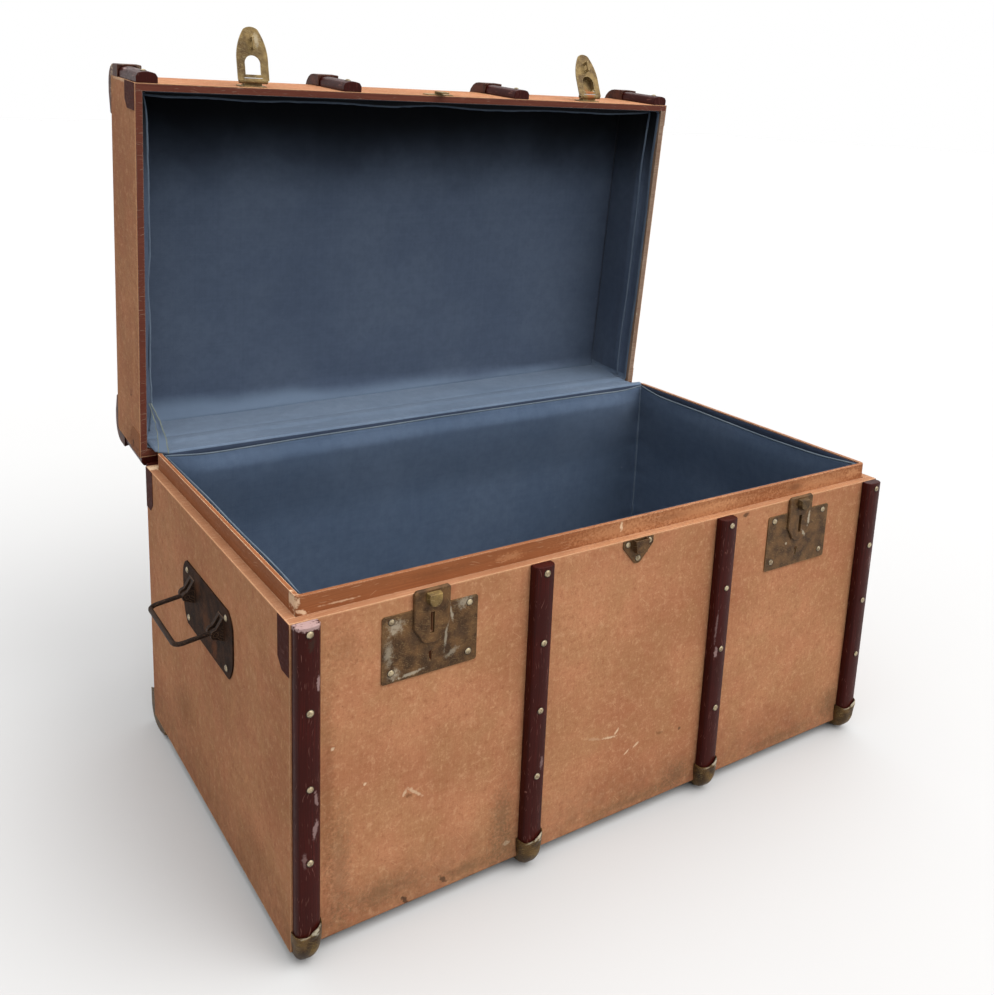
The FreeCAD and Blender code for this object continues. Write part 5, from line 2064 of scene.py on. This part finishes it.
LIP_MARKS = (
    (-439, 396, 5, 8, 10, Ink.CREAM, 0.8, 0.1),
    (-431, 386, 6, 2.4, 12, Ink.CREAM, 0.75, 0),
    (-20, 392, 90, 16, 0, Ink.OAK, 0.5, 0.6),
    (120, 392, 130, 16, 0, Ink.OAK, 0.55, 0.6),
    (340, 392, 110, 16, 0, Ink.OAK, 0.5, 0.6),
    (-390, 388, 22, 1.2, 0, Ink.CREAM, 0.4, 0.1),
    (-18, 396, 2.4, 7, 0, Ink.CREAM, 0.75, 0),
    (291, 393, 16, 6, 0, Ink.UMBER, 0.65, 0.3),
    (-272, 394, 60, 5, 0, Ink.UMBER, 0.35, 0.5),
    (60, 393, 40, 5, 0, Ink.UMBER, 0.35, 0.5),
    (-180, 392, 22, 6, 0, Ink.OAK, 0.35, 0.4),
    (150, 394, 34, 5, 0, Ink.OAK, 0.35, 0.4),
    (412, 394, 18, 7, 0, Ink.OAK, 0.45, 0.3),
)
SLAT_MARKS = (
    (-434, 381, 19, 3.4, 0, Ink.LILAC, 0.9, 0),
    (-432, 362, 5, 9, 0, Ink.SOOT, 0.6, 0.4),
    (-428, 152, 3, 12, 10, Ink.LILAC, 0.5, 0),
    (-427, 188, 2, 9, -8, Ink.LILAC, 0.45, 0),
    (-424, 318, 2.4, 9, 4, Ink.LILAC, 0.6, 0),
    (-440, 120, 3, 10, 0, Ink.LILAC, 0.3, 0.3),
    (136, 236, 1.4, 24, 2, Ink.LILAC, 0.3, 0.1),
    (138, 197, 2.4, 8, 0, Ink.LILAC, 0.6, 0),
    (440, 263, 2, 16, 0, Ink.LILAC, 0.35, 0.2),
    (-140, 132, 3, 8, 0, Ink.LILAC, 0.35, 0.2),
)
SHOE_MARKS = tuple(
    (middle + aside, up, long, wide, turn, ink, strength, soft)
    for middle in (-434, -146, 146, 434)
    for aside, up, long, wide, turn, ink, strength, soft in (
        (6, 32, 8, 2.2, -32, Ink.CHALK, 0.6, 0.2),
        (7, 28, 3, 2, 20, Ink.CHALK, 0.5, 0.2),
        (-7, 27, 6, 1.1, -8, Ink.CHALK, 0.3, 0.1),
        (1, 24, 4, 3, 0, Ink.SOOT, 0.5, 0.4),
        # Painted highlight: a gilt patch low on the round toe
        (4, 8, 8, 9, 0, Ink.GILT, 0.45, 0.5),
        (-9, 10, 5, 14, 0, Ink.SOOT, 0.4, 0.5),
    ))
LOCK_MARKS = (
    (-332, 350, 11, 10, 20, Ink.CHALK, 0.5, 0.5),
    (-340, 322, 6, 18, 0, Ink.CHALK, 0.35, 0.5),
    (-334, 296, 9, 8, 0, Ink.CHALK, 0.45, 0.5),
    (-247, 359, 12, 8, -20, Ink.CHALK, 0.42, 0.5),
    (-264, 350, 1.8, 14, -14, Ink.CHALK, 0.5, 0.2),
    (-270, 326, 1.8, 18, 6, Ink.CHALK, 0.42, 0.2),
    (-312, 291, 17, 2.2, -6, Ink.CHALK, 0.5, 0.2),
    (-262, 303, 10, 4, -30, Ink.CHALK, 0.3, 0.3),
    (-310, 330, 11, 16, 0, Ink.SOOT, 0.5, 0.5),
    (-252, 324, 12, 12, 0, Ink.SOOT, 0.5, 0.5),
    (-290, 312, 16, 10, 0, Ink.SOOT, 0.45, 0.5),
    (306, 352, 2, 12, 4, Ink.CHALK, 0.6, 0),
    (299, 330, 8, 2, 50, Ink.CHALK, 0.5, 0),
    (289, 369, 10, 5, 0, Ink.SOOT, 0.8, 0.3),
    (268, 320, 2, 2, 0, Ink.CHALK, 0.6, 0),
)
HASP_MARKS = (
    (289, 911, 9, 11, 0, Ink.RUST, 0.85, 0.3),
    (-289, 930, 8, 16, 0, Ink.SOOT, 0.35, 0.5),
    (-282, 962, 6, 10, 0, Ink.CHALK, 0.5, 0.3),
)
PLATE_MARKS = (
    (0, 268, 18, 26, 30, Ink.UMBER, 0.4, 0.5),
    (-30, 246, 12, 20, 0, Ink.RUST, 0.25, 0.5),
    (30, 300, 12, 12, 0, Ink.UMBER, 0.3, 0.5),
)


@dataclass
class Palette:
    """All finishes of the trunk, painted once."""

    measures: TrunkMeasures
    soil_height: float = 100 * MM
    # Painted shade on the lid's lining, for the shadow under the open lid's front wall: darkest this far from
    # the front, gone from the next distance on
    painted_shade_from: float = 35 * MM
    painted_shade_to: float = 185 * MM
    # Painted light on the lid's lining: a lighter band within this distance of the back, which faces up when
    # the lid is open
    painted_light_reach: float = 36 * MM

    def __post_init__(self) -> None:
        """Paint the materials."""
        self.tilt = self.measures.open_turn
        self.lid_slat_marks = self.marks(LID_SLAT_MARKS, tilt=self.tilt)
        self.paint_canvas()
        self.paint_wood()
        self.paint_sheet_metal()
        self.paint_small_metal()
        self.paint_cloth()

    def marks(self, rows: Iterable[tuple], side: Side = Side.FRONT, deep: float = 30 * MM,
              tilt: float = 0.0) -> tuple[Mark, ...]:
        """Place rows of marks on the trunk.

        Args:
            rows: Marks in mm on the box, or on the closed lid.
            side: Whether they lie on the front or the left end.
            deep: How far behind the box's front or left end they still show.
            tilt: The finish's own tilt, where it is the lid's.

        Returns:
            The marks in the frame's metres.
        """
        m = self.measures
        origin = m.origin + self.shift(tilt)
        if side is Side.FRONT:
            start, limit = origin.x, origin.y - m.half_depth + deep
        else:
            start, limit = origin.y, origin.x - m.half_length + deep
        placed = []
        for along, up, long, wide, turn, ink, strength, soft in rows:
            placed.append(Mark(start + along * MM, origin.z + up * MM, long * MM, wide * MM,
                               math.radians(turn), ink.value, strength, soft, side, limit))
        return tuple(placed)

    def shift(self, tilt: float) -> Vector:
        """From the closed lid's measures to the places of a finish with a tilt."""
        hinge = self.measures.hinge
        return Matrix.Rotation(tilt, 3, "X") @ hinge - hinge

    def paint_canvas(self) -> None:
        """Paint the canvas of the box and of the lid, where no soil rises from below."""
        low = self.measures.origin.z
        marks = self.marks(CANVAS_MARKS) + self.marks(END_MARKS, Side.END)
        self.box_canvas = CanvasFinish("Box canvas", 0.0, low, low + self.soil_height, marks).paint()
        marks = self.marks(LID_END_MARKS, Side.END, tilt=self.tilt)
        self.lid_canvas = CanvasFinish("Lid canvas", self.tilt, -FAR, 1 - FAR, marks, tan=srgb(186, 126, 90),
                                       deep=srgb(152, 94, 64), olive=srgb(162, 118, 80)).paint()

    def paint_wood(self) -> None:
        """Paint the slats, the lip, the boards' edges and the corner patches."""
        slat = dict(base=srgb(46, 14, 10), light=srgb(74, 22, 17), rub=srgb(160, 112, 100),
                    grain_turn=UPRIGHT, edge=0.45, scratch=0.4, gloss=(0.28, 0.46), shine=0.1)
        self.upright_slats = VarnishedWood("Upright slats", 0.0, marks=self.marks(SLAT_MARKS), **slat).paint()
        self.lid_slats = VarnishedWood("Lid slats", self.tilt, marks=self.lid_slat_marks, **slat).paint()
        lip = dict(base=srgb(130, 78, 48), light=srgb(156, 98, 62), rub=Ink.CREAM.value, grain_turn=0.0,
                   edge=0.85, scratch=0.3, gloss=(0.5, 0.68), reach=2.6 * MM, ragged=0.95, shine=0.1)
        marks = self.marks(LIP_MARKS) + self.marks(END_MARKS[-1:], Side.END)
        self.lip = VarnishedWood("Painted lip", 0.0, marks=marks, **lip).paint()
        ledge = dict(lip, base=srgb(146, 98, 68), light=srgb(194, 146, 112), ragged=1.1, edge=0.6)
        self.ledge = VarnishedWood("Rubbed ledge", 0.0, marks=marks, **ledge).paint()
        rim = dict(lip, base=srgb(90, 48, 38), light=srgb(120, 68, 52), rub=Ink.CHALK.value, ragged=1.35,
                   edge=0.7, reach=2.0 * MM)
        self.lid_rim = VarnishedWood("Painted lid rim", self.tilt, **rim).paint()
        pale = dict(rim, base=srgb(120, 92, 74), light=srgb(172, 152, 132), scratch=0.6)
        self.pale_rim = VarnishedWood("Rubbed lid rim", self.tilt, **pale).paint()
        patch = dict(base=srgb(54, 22, 16), light=srgb(80, 34, 26), rub=srgb(150, 104, 84), grain_turn=0.0,
                     edge=0.5, scratch=0.3, gloss=(0.55, 0.72), shine=0.05)
        self.patches = VarnishedWood("Corner patches", 0.0, **patch).paint()
        marks = self.marks(LID_PATCH_MARKS, Side.END)
        self.lid_patches = VarnishedWood("Lid corner patches", 0.0, marks=marks, **patch).paint()

    def paint_sheet_metal(self) -> None:
        """Paint the shoes, the lock plates, the hasps and the lock noses."""
        shoe = dict(base=srgb(102, 76, 42), stain=srgb(52, 36, 22), bright=srgb(166, 142, 88), metallic=0.25,
                    gloss=(0.36, 0.58), shine=0.2)
        self.shoes = WornMetal("Box shoes", 0.0, marks=self.marks(SHOE_MARKS), **shoe).paint()
        self.lid_shoes = WornMetal("Lid shoes", self.tilt, srgb(84, 46, 34), srgb(46, 24, 19),
                                   srgb(150, 112, 92), 0.2, (0.4, 0.6), shine=0.1,
                                   marks=self.lid_slat_marks).paint()
        lock = dict(base=srgb(106, 76, 47), stain=srgb(60, 41, 26), bright=srgb(156, 130, 88), metallic=0.3,
                    gloss=(0.4, 0.62), pits=0.7, shine=0.2)
        self.locks = WornMetal("Lock plates", 0.0, marks=self.marks(LOCK_MARKS), **lock).paint()
        hasp = dict(lock, base=srgb(142, 118, 74), stain=srgb(84, 64, 40), bright=srgb(196, 178, 132))
        self.hasps = WornMetal("Hasps", 0.0, marks=self.marks(HASP_MARKS, deep=FAR), **hasp).paint()
        self.noses = WornMetal("Lock noses", 0.0, srgb(142, 116, 66), srgb(80, 60, 34),
                               srgb(204, 184, 134), 0.5, (0.3, 0.5)).paint()
        self.dark_nose = WornMetal("Dark lock nose", 0.0, srgb(88, 66, 40), srgb(48, 34, 22),
                                   srgb(150, 126, 84), 0.25, (0.4, 0.6), shine=0.2).paint()

    def paint_small_metal(self) -> None:
        """Paint the nail heads with their rims, the handles and the hinges."""
        self.nails = WornMetal("Nail heads", 0.0, srgb(188, 172, 138), srgb(118, 100, 74),
                               srgb(240, 232, 214), 0.6, (0.22, 0.4), blotch_size=4 * MM).paint()
        self.nail_rims = WornMetal("Nail rims", 0.0, srgb(50, 38, 30), srgb(30, 22, 18),
                                   srgb(96, 80, 62), 0.3, (0.5, 0.7), blotch_size=4 * MM).paint()
        iron = dict(stain=srgb(28, 17, 12), bright=srgb(124, 94, 72), metallic=0.1, gloss=(0.42, 0.66),
                    shine=0.12)
        plate = dict(iron, bright=srgb(92, 66, 48), metallic=0.0, gloss=(0.6, 0.8), shine=0.05, edge=0.5)
        marks = self.marks(PLATE_MARKS, Side.END)
        self.plates = WornMetal("Handle plates", 0.0, srgb(58, 38, 27), marks=marks, **plate).paint()
        self.iron = WornMetal("Handle iron", 0.0, srgb(46, 34, 28), **iron).paint()
        self.hinges = WornMetal("Hinge iron", 0.0, srgb(58, 44, 36), **iron).paint()

    def paint_cloth(self) -> None:
        """Paint the linings and their trims. The lid's lining has painted shade towards its front and a
        painted lighter band along its back. The hinge cloth and the lid's back wall take a lighter copy of
        the lining as painted light.
        """
        middle, half = self.measures.origin.y + self.shift(self.tilt).y, self.measures.half_depth
        # The span of painted shade on the lid's lining, from darkest to gone
        grime_and_painted_shade = (middle - half + self.painted_shade_from, middle - half + self.painted_shade_to)
        self.lid_lining = LiningFinish("Lid lining cloth", self.tilt, grime_and_painted_shade=grime_and_painted_shade,
                                       # Painted light along the back of the lid's lining
                                       painted_light_from=middle + half - self.painted_light_reach).paint()
        self.lining = LiningFinish("Lining cloth", 0.0, srgb(72, 88, 110), srgb(90, 104, 124),
                                   srgb(46, 58, 78)).paint()
        # A lighter copy of the lining: painted light for the hinge cloth and the lid's back wall, which face
        # up when the lid is open
        self.hinge_cloth = LiningFinish("Painted light lining cloth", 0.0, srgb(96, 112, 132), srgb(116, 130, 148),
                                        srgb(66, 80, 100)).paint()
        self.facing = LiningFinish("Lip facing", 0.0, srgb(44, 54, 72), srgb(60, 70, 88),
                                   srgb(26, 32, 44)).paint()
        self.welts = LiningFinish("Welts", 0.0, srgb(92, 106, 124), srgb(122, 136, 150),
                                  srgb(60, 72, 90)).paint()
        self.bindings = LiningFinish("Worn bindings", 0.0, srgb(108, 116, 108), srgb(142, 148, 136),
                                     srgb(66, 74, 70)).paint()
        self.frays = LiningFinish("Frayed hem", 0.0, srgb(92, 104, 116), srgb(134, 144, 150),
                                  srgb(54, 64, 78)).paint()


def dress_hardware(palette: Palette) -> None:
    """Round and paint the CAD nodes that stay as they are.

    Args:
        palette: The finishes.
    """
    names = sorted(frame["nodes"])
    box_slats = [n for n in names if n.startswith("body_front_slat")]
    box_slats += ["body_back_slats", "body_bottom_battens"]
    box_boards = [n for n in names if n.startswith("body_") and "board" in n]
    lid_boards = [n for n in names if n.startswith("lid_") and "board" in n and n != RIGHT_RIM]
    lips = [n for n in names if n.startswith("lip_")]
    plan = [
        (["body_canvas"], palette.box_canvas, 1.0),
        (["lid_canvas"], palette.lid_canvas, 1.0),
        (box_boards, palette.ledge, 0.3),
        (lid_boards, palette.lid_rim, 0.3),
        ([RIGHT_RIM], palette.pale_rim, 0.3),
        (lips, palette.lip, 1.3),
        (box_slats, palette.upright_slats, 1.2),
        (["lid_front_slats", "lid_back_slats", "lid_top_slats"], palette.lid_slats, 1.2),
        (["body_back_shoes"], palette.shoes, 2.6),
        (["lid_front_shoes", "lid_back_shoes"], palette.lid_shoes, 2.6),
        (["left_lock_plate", "right_lock_plate"], palette.locks, 0.4),
        (["left_lock_case", "right_lock_case", "catch_cup"], palette.locks, 0.5),
        (["left_lock_nose"], palette.noses, 1.1),
        (["right_lock_nose"], palette.dark_nose, 1.1),
        (["left_hasp_plate", "right_hasp_plate", "lid_pin_plate"], palette.hasps, 0.4),
        (["left_hasp", "right_hasp"], palette.hasps, 0.4),
        (["hasp_pins"], palette.iron, 0.2),
        (["body_corner_patches"], palette.patches, 0.3),
        (["lid_corner_patches"], palette.lid_patches, 0.3),
        (["left_handle_plate", "right_handle_plate"], palette.plates, 0.6),
        (["left_handle_eyes", "right_handle_eyes"], palette.iron, 0.6),
        (["left_bail", "right_bail"], palette.iron, 0.3),
        (["hinge_body_leaves", "hinge_lid_leaves", "hinge_pins"], palette.hinges, 0.3),
    ]
    for nodes, material, width_mm in plan:
        soften(nodes, width_mm * MM)
        dress(nodes, material)
        log.info("dressed %s with %s", ", ".join(nodes), material.name)


def main() -> None:
    """Build the trunk's looks in order and report each piece."""
    logging.basicConfig(level=logging.INFO, format="%(message)s")
    measures = TrunkMeasures.read()
    palette = Palette(measures)
    dress_hardware(palette)
    heads = [
        ("body_nails", "box_nail_heads", "box", False),
        ("lid_nails", "lid_nail_heads", "lid", True),
        ("lock_nails", "lock_nail_heads", "box", False),
        ("handle_nails", "handle_nail_heads", "box", False),
    ]
    for seed, (node, name, body, on_lid) in enumerate(heads, FIRST_SEED):
        NailHeads(measures, node, name, body, palette.nails, palette.nail_rims, on_lid, seed).build()
    for number in range(1, 5):
        FrontShoe(measures, number, palette.shoes).build()
    BoxLining(measures, palette.lining, palette.welts, palette.facing, palette.frays).build()
    lid = LidLining(measures, palette.lid_lining, palette.welts, palette.hinge_cloth)
    lid.build()
    HingeCloth(measures, lid, palette.hinge_cloth).build()
    CornerWeb(measures, lid, palette.lid_lining, palette.bindings).build()
    Studio(measures).build()
    scene = bpy.context.scene
    scene.view_settings.view_transform = "Standard"


if __name__ == "__main__":
    main()
